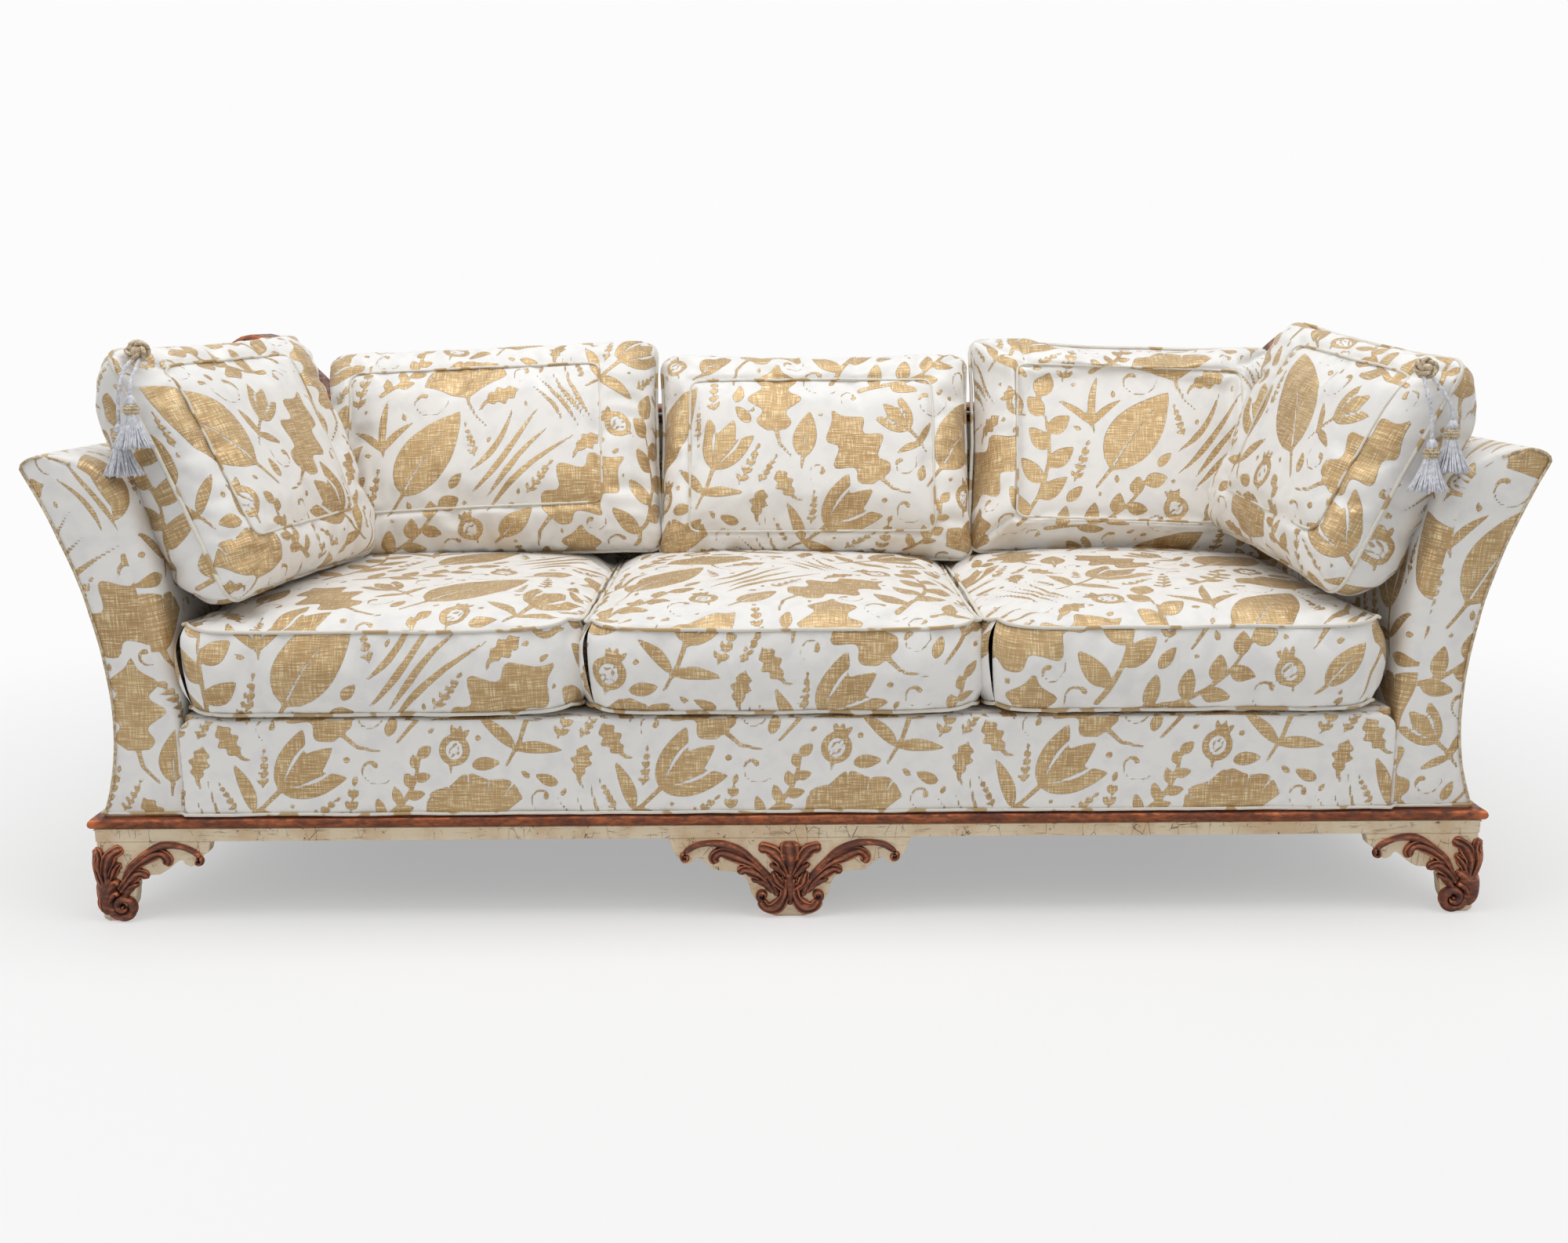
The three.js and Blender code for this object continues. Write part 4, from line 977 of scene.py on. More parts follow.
def frames(path: np.ndarray) -> tuple[np.ndarray, np.ndarray]:
    """Two directions across a line at each of its points, turned as little as can be.

    Args:
        path: N by 3.

    Returns:
        The two unit directions at each point.
    """
    along = np.gradient(path, axis=0)
    along /= np.linalg.norm(along, axis=1)[:, None] + 1e-12
    side = np.cross(along[0], (0, 0, 1) if abs(along[0][2]) < 0.9 else (1, 0, 0))
    sides = []
    for way in along:
        side = side - way * (side @ way)
        side = side / np.linalg.norm(side)
        sides.append(side)
    sides = np.array(sides)
    return sides, np.cross(along, sides)


def resampled(path: np.ndarray, step: float, closed: bool = False) -> np.ndarray:
    """The same line with points about a step apart.

    Args:
        path: N by 3.
        step: Distance in metres.
        closed: Whether the last point joins the first.

    Returns:
        The new points, the first again at the end of a closed line.
    """
    path = np.asarray(path, float)
    if closed:
        path = np.concatenate([path, path[:1]])
    run = np.concatenate([[0], np.cumsum(np.linalg.norm(np.diff(path, axis=0), axis=1))])
    places = np.linspace(0, run[-1], max(3, round(run[-1] / step) + 1))
    return np.stack([np.interp(places, run, path[:, i]) for i in range(3)], -1)


def curved(path: Sequence[Sequence[float]], count: int) -> np.ndarray:
    """A smooth line through some points.

    Args:
        path: The points.
        count: How many to return between each two.

    Returns:
        Points of a Catmull-Rom curve.
    """
    points = np.asarray(path, float)
    ends = np.concatenate([[2 * points[0] - points[1]], points, [2 * points[-1] - points[-2]]])
    made = [points[0]]
    for a, b, c, d in zip(ends[:-3], ends[1:-2], ends[2:-1], ends[3:]):
        for t in np.linspace(0, 1, count + 1)[1:]:
            made.append(0.5 * (2 * b + (c - a) * t + (2 * a - 5 * b + 4 * c - d) * t * t + (3 * b - a - 3 * c + d) * t ** 3))
    return np.array(made)


def rope(name: str, path: np.ndarray, radius: float, sides: int = 8, lobes: int = 0, pitch: float = 0.012,
         closed: bool = False, taper: Callable[[np.ndarray], np.ndarray] | None = None) -> bpy.types.Object:
    """A round or twisted tube.

    Args:
        name: The object's name.
        path: Its centreline.
        radius: Its greatest radius.
        sides: Points round it.
        lobes: Strands twisted together, 0 for none.
        pitch: Length of one full twist.
        closed: Whether it joins up.
        taper: Share of the radius along it, from 0 to 1.

    Returns:
        The tube.
    """
    one, two = frames(path)
    run = np.concatenate([[0], np.cumsum(np.linalg.norm(np.diff(path, axis=0), axis=1))])
    if closed:
        one[-1], two[-1] = one[0], two[0]
    angles = np.linspace(0, 2 * math.pi, sides + 1)[:-1]
    phase = run[:, None] / pitch * 2 * math.pi
    size = np.full((len(path), sides), radius)
    if lobes:
        size = radius * (0.74 + 0.26 * abs(np.cos(lobes / 2 * (angles[None, :] - phase))))
    if taper:
        size = size * taper(run / run[-1])[:, None]
    around = one[:, None] * np.cos(angles)[None, :, None] + two[:, None] * np.sin(angles)[None, :, None]
    grid = path[:, None] + around * size[..., None]
    grid = np.concatenate([grid, grid[:, :1]], 1)
    quilt = Quilt().add(grid)
    if not closed:
        for end in (0, -1):
            middle = np.repeat(path[end][None], sides + 1, 0)
            pair = [grid[end], middle] if end else [middle, grid[end]]
            quilt.add(np.stack(pair))
    return quilt.sewn(name)


def joined(name: str, pieces: Sequence[bpy.types.Object]) -> bpy.types.Object:
    """Several meshes as one object.

    Args:
        name: Its name.
        pieces: Objects with their vertices in place, which go.

    Returns:
        The object.
    """
    points, faces, start = [], [], 0
    for piece in pieces:
        mesh = piece.data
        points.append(coordinates(piece))
        faces += [[start + v for v in polygon.vertices] for polygon in mesh.polygons]
        start += len(mesh.vertices)
        bpy.data.objects.remove(piece)
        bpy.data.meshes.remove(mesh)
    mesh = bpy.data.meshes.new(name)
    mesh.from_pydata(np.concatenate(points).tolist(), [], faces)
    obj = bpy.data.objects.new(name, mesh)
    bpy.context.scene.collection.objects.link(obj)
    return smoothed(obj)


def turned(name: str, profile: Sequence[tuple[float, float]], place: Sequence[float], sides: int = 24,
           flute: float = 0, flutes: int = 12) -> bpy.types.Object:
    """A lathe-turned piece that stands along Z.

    Args:
        name: Its name.
        profile: Radius and height from its place, from one end to the other.
        place: Where it stands.
        sides: Points round it.
        flute: How deep its flutes are, as a share of the radius.
        flutes: How many.

    Returns:
        The piece.
    """
    angles = np.linspace(0, 2 * math.pi, sides + 1)
    radius = np.array([r for r, _ in profile])[:, None] * (1 - flute * (0.5 + 0.5 * np.cos(flutes * angles)))[None, :]
    height = np.array([z for _, z in profile])[:, None] + 0 * angles[None, :]
    grid = np.stack([place[0] + radius * np.cos(angles), place[1] + radius * np.sin(angles), place[2] + height], -1)
    return Quilt().add(grid).sewn(name)


class Workroom:
    """What every sub-assembly shares: the finishes, the woven repeat and the puffing of the cushions."""

    def __init__(self) -> None:
        """Makes the finishes and the repeat."""
        self.finishes = Finishes()
        self.weave = Weave()
        self.waiting: list[tuple[bpy.types.Object, np.ndarray, float]] = []

    def place(self, obj: bpy.types.Object, material: bpy.types.Material, slot: Slot, body: str, *nodes: str) -> bpy.types.Object:
        """Gives a piece its finish, its body and the solids it stands for.

        Args:
            obj: The piece.
            material: Its material.
            slot: Not used.
            body: What it rides on.
            nodes: Solids it replaces.

        Returns:
            The piece.
        """
        obj.data.materials.clear()
        obj.data.materials.append(material)
        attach(obj, body)
        if nodes:
            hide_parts(*nodes)
        return obj

    def figured(self, obj: bpy.types.Object) -> bpy.types.Object:
        """Writes the woven figures on a mesh that has a cloth map.

        Args:
            obj: The piece.

        Returns:
            The piece.
        """
        mesh = obj.data
        cloth = np.empty(len(mesh.loops) * 2, np.float32)
        mesh.uv_layers[CLOTH_UV].data.foreach_get("uv", cloth)
        made = mesh.attributes.new(FIGURE, "FLOAT", "CORNER")
        made.data.foreach_set("value", self.weave.sample(cloth.reshape(-1, 2).astype(float)).astype(np.float32))
        return obj

    def upholstered(self, name: str, nodes: Sequence[str], body: str, voxel: float, rounds: int, shift: Sequence[float],
                    seed: int) -> bpy.types.Object:
        """A soft copy of some solids, in the brocade.

        Args:
            name: The piece's name.
            nodes: Solids that it stands for.
            body: What it rides on.
            voxel: Size of its faces.
            rounds: How often it is smoothed.
            shift: Where its cloth starts, in metres.
            seed: Picks its ripples.

        Returns:
            The piece.
        """
        obj = solid_copy(name, nodes, voxel, rounds)
        points, out = coordinates(obj), normals(obj)
        set_coordinates(obj, points + out * (ripple(points, seed, 0.21) * 0.0016)[:, None])
        faces = len(obj.data.polygons)
        facing = np.empty(faces * 3, np.float32)
        obj.data.polygons.foreach_get("normal", facing)
        starts, totals = np.empty(faces, np.int32), np.empty(faces, np.int32)
        obj.data.polygons.foreach_get("loop_start", starts)
        obj.data.polygons.foreach_get("loop_total", totals)
        way = np.repeat(abs(facing.reshape(-1, 3)).argmax(1), totals)
        corners = np.empty(len(obj.data.loops), np.int32)
        obj.data.loops.foreach_get("vertex_index", corners)
        at = points[corners]
        plain = np.array([[1, 2], [0, 2], [0, 1]])[way]
        cloth = np.take_along_axis(at, plain, 1) + np.asarray(shift)
        layer = obj.data.uv_layers.new(name=CLOTH_UV)
        layer.data.foreach_set("uv", cloth.astype(np.float32).ravel())
        self.figured(obj)
        self.place(obj, self.finishes.brocade, Slot.BROCADE, body, *nodes)
        return obj

    def puff_later(self, obj: bpy.types.Object, held: np.ndarray, cap: float) -> None:
        """Queues a cushion for the cloth simulation.

        Args:
            obj: The cushion.
            held: How firmly each vertex is held, 0 to 1.
            cap: How far a vertex may move.
        """
        self.waiting.append((obj, held, cap))

    def puff(self, pressure: float = 4, slack: float = 0.035, last: int = 20) -> None:
        """Blows the queued cushions up against their seams and keeps the result.

        Args:
            pressure: Air pressure.
            slack: Extra cloth, which puckers along the seams.
            last: Last frame.
        """
        scene = bpy.context.scene
        starts = []
        for obj, held, _ in self.waiting:
            starts.append(coordinates(obj))
            group = obj.vertex_groups.new(name="seams")
            for level in np.unique(np.round(held, 2)):
                group.add(np.nonzero(np.round(held, 2) == level)[0].tolist(), float(level), "REPLACE")
            cloth = obj.modifiers.new("puff", "CLOTH")
            s = cloth.settings
            s.quality, s.mass, s.air_damping = 4, 0.15, 6
            s.tension_stiffness = s.compression_stiffness = 30
            s.shear_stiffness, s.bending_stiffness = 8, 0.6
            s.vertex_group_mass, s.pin_stiffness = "seams", 1
            s.use_pressure, s.uniform_pressure_force = True, pressure
            s.shrink_min = -slack
            s.effector_weights.gravity = 0
            cloth.collision_settings.use_collision = False
            cloth.point_cache.frame_start, cloth.point_cache.frame_end = 1, last
        for number in range(1, last + 1):
            scene.frame_set(number)
        for (obj, _, cap), start in zip(self.waiting, starts):
            settled(obj)
            moved = coordinates(obj) - start
            far = np.linalg.norm(moved, axis=1)
            share = np.where(far > cap, cap / np.maximum(far, 1e-9), 1)
            set_coordinates(obj, start + moved * share[:, None])
            obj.vertex_groups.clear()
            finer = obj.modifiers.new("finer", "SUBSURF")
            finer.levels = finer.render_levels = 1
            finer.uv_smooth = "NONE"
            settled(obj)
            smoothed(obj)
            self.figured(obj)
        scene.frame_set(1)
        self.waiting.clear()

    def welt(self, name: str, path: np.ndarray, body: str, closed: bool = True, radius: float = 0.0025) -> bpy.types.Object:
        """Piping along a seam.

        Args:
            name: Its name.
            path: The seam.
            body: What it rides on.
            closed: Whether it joins up.
            radius: Its radius.

        Returns:
            The piping.
        """
        line = resampled(path, 0.007, closed)
        sway = np.stack([ripple(line, 5 + i, 0.09) for i in range(3)], -1) * 0.0009
        if closed:
            sway[-1] = sway[0]
        made = rope(name, line + sway, radius, 8, closed=closed)
        return self.place(made, self.finishes.welt, Slot.BROCADE, body)


def solid_copy(name: str, nodes: Sequence[str], voxel: float, rounds: int) -> bpy.types.Object:
    """A finely faced, smoothed copy of some solids.

    Args:
        name: Its name.
        nodes: The solids.
        voxel: Size of its faces.
        rounds: How often it is smoothed.

    Returns:
        The copy.
    """
    copies = []
    for node in nodes:
        copy = bpy.data.objects.new(node + "_copy", frame["nodes"][node].data.copy())
        bpy.context.scene.collection.objects.link(copy)
        copies.append(copy)
    obj = joined(name, copies)
    remesh = obj.modifiers.new("remesh", "REMESH")
    remesh.mode, remesh.voxel_size, remesh.adaptivity = "VOXEL", voxel, 0
    if rounds:
        smooth = obj.modifiers.new("smooth", "SMOOTH")
        smooth.factor, smooth.iterations = 0.5, rounds
    return smoothed(settled(obj))


# Loose cushions


@dataclass
class Cushion:
    """What every loose cushion has: its solid, its seams and its cloth."""

    side: str
    half_width: float
    half_height: float
    shift: tuple[float, float]
    seed: int
    corner: float = 0.05
    draw_in: float = 0.008
    cell: float = 0.0105

    def grid(self) -> tuple[np.ndarray, np.ndarray]:
        """Shares across and up a face, each -1 to 1, as two grids."""
        across = round(2 * self.half_width / self.cell)
        up = round(2 * self.half_height / self.cell)
        a, b = np.meshgrid(np.linspace(-1, 1, across + 1), np.linspace(-1, 1, up + 1), indexing="ij")
        return a, b

    def outline(self, a: np.ndarray, b: np.ndarray) -> tuple[np.ndarray, np.ndarray]:
        """Places of a face's points, its corners rounded and its sides drawn in.

        Args:
            a: Shares across.
            b: Shares up.

        Returns:
            Distances across and up.
        """
        most = np.maximum(np.maximum(abs(a), abs(b)), 1e-9)
        x, y = a / most * self.half_width, b / most * self.half_height
        inner_x, inner_y = self.half_width - self.corner, self.half_height - self.corner
        qx, qy = np.clip(x, -inner_x, inner_x), np.clip(y, -inner_y, inner_y)
        dx, dy = x - qx, y - qy
        size = self.corner / np.maximum(np.hypot(dx, dy), 1e-9)
        size = np.where(np.hypot(dx, dy) > 1e-9, size, 1)
        x, y = (qx + dx * size) * most, (qy + dy * size) * most
        pull = self.draw_in
        x = x - np.sign(a) * abs(a) ** 3 * pull * (1 - b * b)
        y = y - np.sign(b) * abs(b) ** 3 * pull * (1 - a * a)
        return x, y


def ring(grid: np.ndarray) -> np.ndarray:
    """The border of a grid of points, once round."""
    return np.concatenate([grid[:-1, 0], grid[-1, :-1], grid[:0:-1, -1], grid[0, :0:-1]])


def dome(a: np.ndarray, b: np.ndarray, power: float, round_: float) -> np.ndarray:
    """Height of a stuffed face, 1 in its middle and 0 on its border."""
    return (np.clip(1 - abs(a) ** power, 0, 1) * np.clip(1 - abs(b) ** power, 0, 1)) ** round_


@dataclass
class SeatCushion(Cushion):
    """A boxed seat cushion with piping round its top and bottom."""

    boxing: float = 0.132
    lift: float = 0.007
    rows: int = 13

    def build(self, room: Workroom) -> None:
        """Sews the cushion and its piping.

        Args:
            room: Shared finishes.
        """
        node = f"seat_cushion_{self.side}"
        low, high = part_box(node)
        middle = (low + high) / 2
        self.half_width, self.half_height = (high.x - low.x) / 2 - 0.001, (high.y - low.y) / 2 - 0.003
        a, b = self.grid()
        x, y = self.outline(a, b)
        seam = low.z + self.lift + self.boxing
        settle = 0.0035 * ripple(np.stack([x.ravel(), y.ravel()], -1), self.seed, 0.8).reshape(x.shape)
        settle = settle + 0.013 * (abs(a) * np.clip(-b, 0, 1)) ** 7
        top = seam + settle + 0.9 * (high.z - seam - 0.004) * dome(a, b, 2.4, 0.62)
        bottom = low.z + self.lift + settle * 0.7 - (self.lift - 0.001) * dome(a, b, 3, 0.4)
        crumple = ripple(np.stack([x.ravel() * 3, y.ravel()], -1), self.seed + 9, 0.12).reshape(x.shape)
        top = top + 0.0012 * crumple * dome(a, b, 8, 0.5)
        faces = [np.stack([middle.x + x, middle.y + y, z], -1) for z in (top, bottom)]
        rings = [np.concatenate([r, r[:1]]) for r in (ring(faces[0]), ring(faces[1]))]
        run = np.concatenate([[0], np.cumsum(np.linalg.norm(np.diff(rings[0][:, :2], axis=0), axis=1))])
        out = rings[0][:, :2] - np.array([middle.x, middle.y])
        out = out / np.array([self.half_width, self.half_height])
        out = np.sign(out) * abs(out) ** 9
        out /= np.linalg.norm(out, axis=1)[:, None] + 1e-9
        share = np.linspace(0, 1, self.rows)[:, None]
        belly = 0.0105 * np.sin(math.pi * share) * (1 + 0.5 * np.sin(run / 0.031 + 1.7 * np.sin(run / 0.11)))[None, :]
        wall = rings[0][None] * (1 - share[..., None]) + rings[1][None] * share[..., None]
        wall[..., :2] += out[None] * belly[..., None]
        shift = np.asarray(self.shift)
        flat = np.stack([x, y], -1) + shift
        hem = np.stack([np.broadcast_to(run, wall.shape[:2]), -share * self.boxing + 0 * run[None]], -1) + shift[::-1]
        quilt = Quilt().add(faces[0], flat).add(wall[:, ::-1], hem[:, ::-1]).add(faces[1][::-1], flat[::-1] + 0.2)
        obj = quilt.sewn(node + "_cover")
        points = coordinates(obj)
        held = self.held(points, np.concatenate(rings))
        room.puff_later(obj, held, 0.011)
        room.place(obj, room.finishes.brocade, Slot.BROCADE, node, node)
        for level, line in zip(("top", "bottom"), rings):
            edge = line[:-1].copy()
            edge[:, :2] += out[:-1] * 0.0016
            room.welt(f"{node}_{level}_piping", edge, node, radius=0.003)

    @staticmethod
    def held(points: np.ndarray, seams: np.ndarray) -> np.ndarray:
        """1 on the seams and 0 elsewhere.

        Args:
            points: The cover's vertices.
            seams: The seams' points.

        Returns:
            One number for each vertex.
        """
        keys = {tuple(k) for k in np.round(seams, 4).tolist()}
        return np.array([1.0 if tuple(k) in keys else 0.0 for k in np.round(points, 4).tolist()])


@dataclass
class Pillow(Cushion):
    """A stuffed pillow with a piped panel let into its face and a piped seam round its edge."""

    turn: Matrix = field(default_factory=Matrix)
    face: Matrix = field(default_factory=Matrix)
    panel: tuple[float, float, float, float] = (-0.2, 0.2, -0.13, 0.14)
    kind: str = "back"
    full: float = 0.97
    rim: float = 0.098
    wider: tuple[float, float] = (0, 0)
    lower: float = 0
    lobe: float = 0.05
    seam: float = 0
    pinch: float = 0
    twist: float = 0
    drop: float = 0

    def build(self, room: Workroom) -> None:
        """Sews the pillow, its panel piping and its seam piping.

        Args:
            room: Shared finishes.
        """
        node = f"{self.kind}_cushion_{self.side}"
        solid = coordinates(frame["nodes"][node])
        turn = np.array(self.turn.to_3x3()) @ np.array(self.face.to_3x3())
        local = solid @ turn
        low, high = local.min(0), local.max(0)
        low[:2] -= self.wider[0], self.lower
        high[0] += self.wider[1]
        self.half_width, self.half_height = (high[0] - low[0]) / 2, (high[1] - low[1]) / 2 - 0.002
        centre, thick = (low + high) / 2 - np.array([0, 0, self.drop]) @ turn, high[2] - low[2]
        over, a = self.spread(self.half_width, thick / 2)
        along, b = self.spread(self.half_height, thick / 2)
        a, b = np.meshgrid(a, b, indexing="ij")
        over, along = np.meshgrid(over, along, indexing="ij")
        x, y = self.outline(a, b)
        faces = []
        for hand in (1, -1):
            z = hand * (thick / 2 - hand * self.seam) * self.full * self.swell(a, b, 1 if hand > 0 else 0.35)
            z = (z + self.gathers(x, y, a, b) * (1 if hand > 0 else 0.6)) * self.fade(a, b) + self.twist * a * b
            faces.append(np.stack([centre[0] + x, centre[1] + y, centre[2] + self.seam + z], -1))
        world = [grid @ turn.T for grid in faces]
        shift = np.asarray(self.shift)
        flat = np.stack([over, along], -1) + shift
        obj = Quilt().add(world[0], flat).add(world[1][::-1], flat[::-1] + 0.31).sewn(node + "_cover")
        rim = ring(world[0])
        inset, nearby = self.inset(x, y)
        line = self.panel_line(faces[0], x, y)
        held = SeatCushion.held(coordinates(obj), rim)
        near = {tuple(k): w for k, w in zip(np.round(world[0].reshape(-1, 3), 4).tolist(), nearby.ravel().tolist())}
        held = np.maximum(held, [near.get(tuple(k), 0.0) for k in np.round(coordinates(obj), 4).tolist()])
        room.puff_later(obj, held, 0.013)
        room.place(obj, room.finishes.brocade, Slot.BROCADE, node, node)
        out = rim - rim.mean(0)
        out /= np.linalg.norm(out, axis=1)[:, None]
        room.welt(node + "_edge_piping", rim + out * 0.0014, node, radius=0.0033)
        room.welt(node + "_panel_piping", line @ turn.T, node, radius=0.0024)

    def spread(self, half: float, thick: float) -> tuple[np.ndarray, np.ndarray]:
        """Spaces a line of cloth evenly from edge to edge, over the rounded rims.

        Args:
            half: Half the pillow's size that way.
            thick: Half its thickness.

        Returns:
            Distance along the cloth from the middle, and the share of the half size it reaches.
        """
        turn = np.linspace(0, math.pi / 2, 60)
        out, up = half - self.rim * (1 - np.cos(turn)), thick * 0.85 * np.sin(turn)
        run = np.concatenate([[0], np.cumsum(np.hypot(np.diff(out), np.diff(up)))])
        whole = run[-1] + half - self.rim
        reach = np.concatenate([[0], whole - run[::-1]])
        place = np.concatenate([[0], out[::-1]])
        count = round(whole / self.cell)
        cloth = np.linspace(-whole, whole, 2 * count + 1)
        return cloth, np.sign(cloth) * np.interp(abs(cloth), reach, place) / half

    def edge_rise(self, away: np.ndarray) -> np.ndarray:
        """Share of the full height at a distance in from the seam."""
        return np.sqrt(np.clip(1 - (1 - np.clip(away / self.rim, 0, 1)) ** 2, 0, 1))

    def swell(self, a: np.ndarray, b: np.ndarray, tie: float) -> np.ndarray:
        """Share of the thickness over a face."""
        rise = self.edge_rise(self.half_width * (1 - abs(a))) * self.edge_rise(self.half_height * (1 - abs(b)))
        tied = np.exp(-(((a - np.sign(self.pinch)) * self.half_width) ** 2 + ((b - 0.97) * self.half_height) ** 2) / 0.055 ** 2)
        return rise ** 0.68 * (0.85 + 0.15 * dome(a, b, 2, 0.8)) * (1 - self.lobe * b) * (1 - abs(self.pinch) * tie * tied)

    def fade(self, a: np.ndarray, b: np.ndarray) -> np.ndarray:
        """0 on the border, where the two faces meet, and 1 inside."""
        edge = 1 - np.maximum(abs(a), abs(b))
        return np.where(edge < 1e-6, 0, 1)

    def inset(self, x: np.ndarray, y: np.ndarray) -> tuple[np.ndarray, np.ndarray]:
        """How far each point lies outside the let-in panel, and how firmly its seam holds it.

        Args:
            x: Distances across.
            y: Distances up.

        Returns:
            The distance, negative inside, and a number from 0 to 1.
        """
        left, right, low, high = self.panel
        away = np.maximum(np.maximum(left - x, x - right), np.maximum(low - y, y - high))
        return away, np.clip(1 - abs(away) / (0.62 * self.cell), 0, 1)

    def gathers(self, x: np.ndarray, y: np.ndarray, a: np.ndarray, b: np.ndarray) -> np.ndarray:
        """Height of the puckers on the wings, and the dip along the panel's seam.

        Args:
            x: Distances across.
            y: Distances up.
            a: Shares across.
            b: Shares up.

        Returns:
            Height in metres.
        """
        away, _ = self.inset(x, y)
        left, right, low, high = self.panel
        turn = np.arctan2(y - (low + high) / 2, x - (left + right) / 2)
        run = np.where((x < left) | (x > right), y, x)
        wave = np.sin(run / 0.0068 + 2.2 * np.sin(run / 0.037 + self.seed) + 3 * turn)
        wing = np.clip(away / 0.02, 0, 1) * np.clip((1 - np.maximum(abs(a), abs(b))) / 0.12, 0, 1)
        corner = 0.5 + 0.9 * (abs(a * b)) ** 3
        dip = -0.0055 * np.exp(-(away / 0.007) ** 2)
        return 0.0036 * wave * wing * corner + dip

    def panel_line(self, face: np.ndarray, x: np.ndarray, y: np.ndarray) -> np.ndarray:
        """The panel's seam on the face, in the pillow's own axes.

        Args:
            face: The face's points.
            x: Distances across.
            y: Distances up.

        Returns:
            Points once round.
        """
        left, right, low, high = self.panel
        r = 0.016
        corners = [(right - r, high - r, 0), (left + r, high - r, 1), (left + r, low + r, 2), (right - r, low + r, 3)]
        line = []
        for cx, cy, quarter in corners:
            for turn in np.linspace(0, math.pi / 2, 5):
                angle = turn + quarter * math.pi / 2
                line.append((cx + r * math.cos(angle), cy + r * math.sin(angle), 0))
        line = resampled(np.array(line), 0.008, True)[:-1]
        flat = np.stack([x.ravel(), y.ravel()], -1)
        depth = face[..., 2].ravel()
        heights = []
        for place in line:
            away = np.hypot(*(flat - place[:2]).T)
            near = np.argsort(away)[:4]
            weight = 1 / (away[near] + 1e-4)
            heights.append((depth[near] * weight).sum() / weight.sum())
        middle = (face.reshape(-1, 3).min(0) + face.reshape(-1, 3).max(0)) / 2
        return np.stack([middle[0] + line[:, 0], middle[1] + line[:, 1], np.array(heights) + 0.0026], -1)


@dataclass
class LooseCushions:
    """The three seat cushions, three back pillows and two side pillows."""

    back_lean: float = 23
    back_tilt: tuple[float, float, float] = (2.5, 0, -2.2)
    side_lean: float = 20.5
    side_yaw: tuple[float, float] = (-12, 10)
    side_pitch: tuple[float, float] = (0.5, 6)

    def build(self, room: Workroom) -> None:
        """Sews all eight.

        Args:
            room: Shared finishes.
        """
        for i, side in enumerate(("left", "middle", "right")):
            SeatCushion(side, 0.3, 0.37, (0.13 + 0.27 * i, 0.21 * i), 3 + i, corner=0.058, draw_in=0.005).build(room)
        panels = [(-0.262, 0.213, -0.132, 0.146), (-0.238, 0.222, -0.165, 0.13), (-0.215, 0.213, -0.163, 0.138)]
        for i, side in enumerate(("left", "middle", "right")):
            turn = Euler((math.radians(-self.back_lean), 0, 0)).to_matrix() @ Euler((0, math.radians(-self.back_tilt[i]), 0)).to_matrix()
            shift = (0.31 + 0.24 * i, 0.12 + 0.31 * i)
            Pillow(side, 0.3, 0.2, shift, 11 + i, corner=0.03, turn=turn, face=self.facing_front(), panel=panels[i],
                   wider=((0.045, 0.003), (0.003, 0.003), (0.003, 0))[i], lower=0.031).build(room)
        for i, hand in enumerate(Hand):
            angles = (self.side_pitch[i], hand.value * self.side_lean, self.side_yaw[i])
            turn = Euler([math.radians(v) for v in angles], "XYZ").to_matrix()
            panel = (-0.13, 0.2, -0.125, 0.165) if hand is Hand.LEFT else (-0.2, 0.13, -0.12, 0.155)
            Pillow(hand.name.lower(), 0.24, 0.2, (0.05 + 0.2 * i, 0.4), 21 + i, corner=0.035, turn=turn, face=self.facing_in(hand),
                   drop=(0.006, 0.013)[i],
                   panel=panel, kind="side", lobe=0.1, seam=0.022, pinch=-0.5 * hand.value, twist=0.014 * hand.value, wider=(0.026, 0) if hand is Hand.LEFT else (0, 0.022)).build(room)

    @staticmethod
    def facing_front() -> Matrix:
        """Axes of a face that looks to the front: across, up, out."""
        return Matrix(((1, 0, 0), (0, 0, -1), (0, 1, 0)))

    @staticmethod
    def facing_in(hand: Hand) -> Matrix:
        """Axes of a face that looks in from one end: across, up, out."""
        return Matrix(((0, 0, -hand.value), (hand.value, 0, 0), (0, 1, 0)))


# Arms


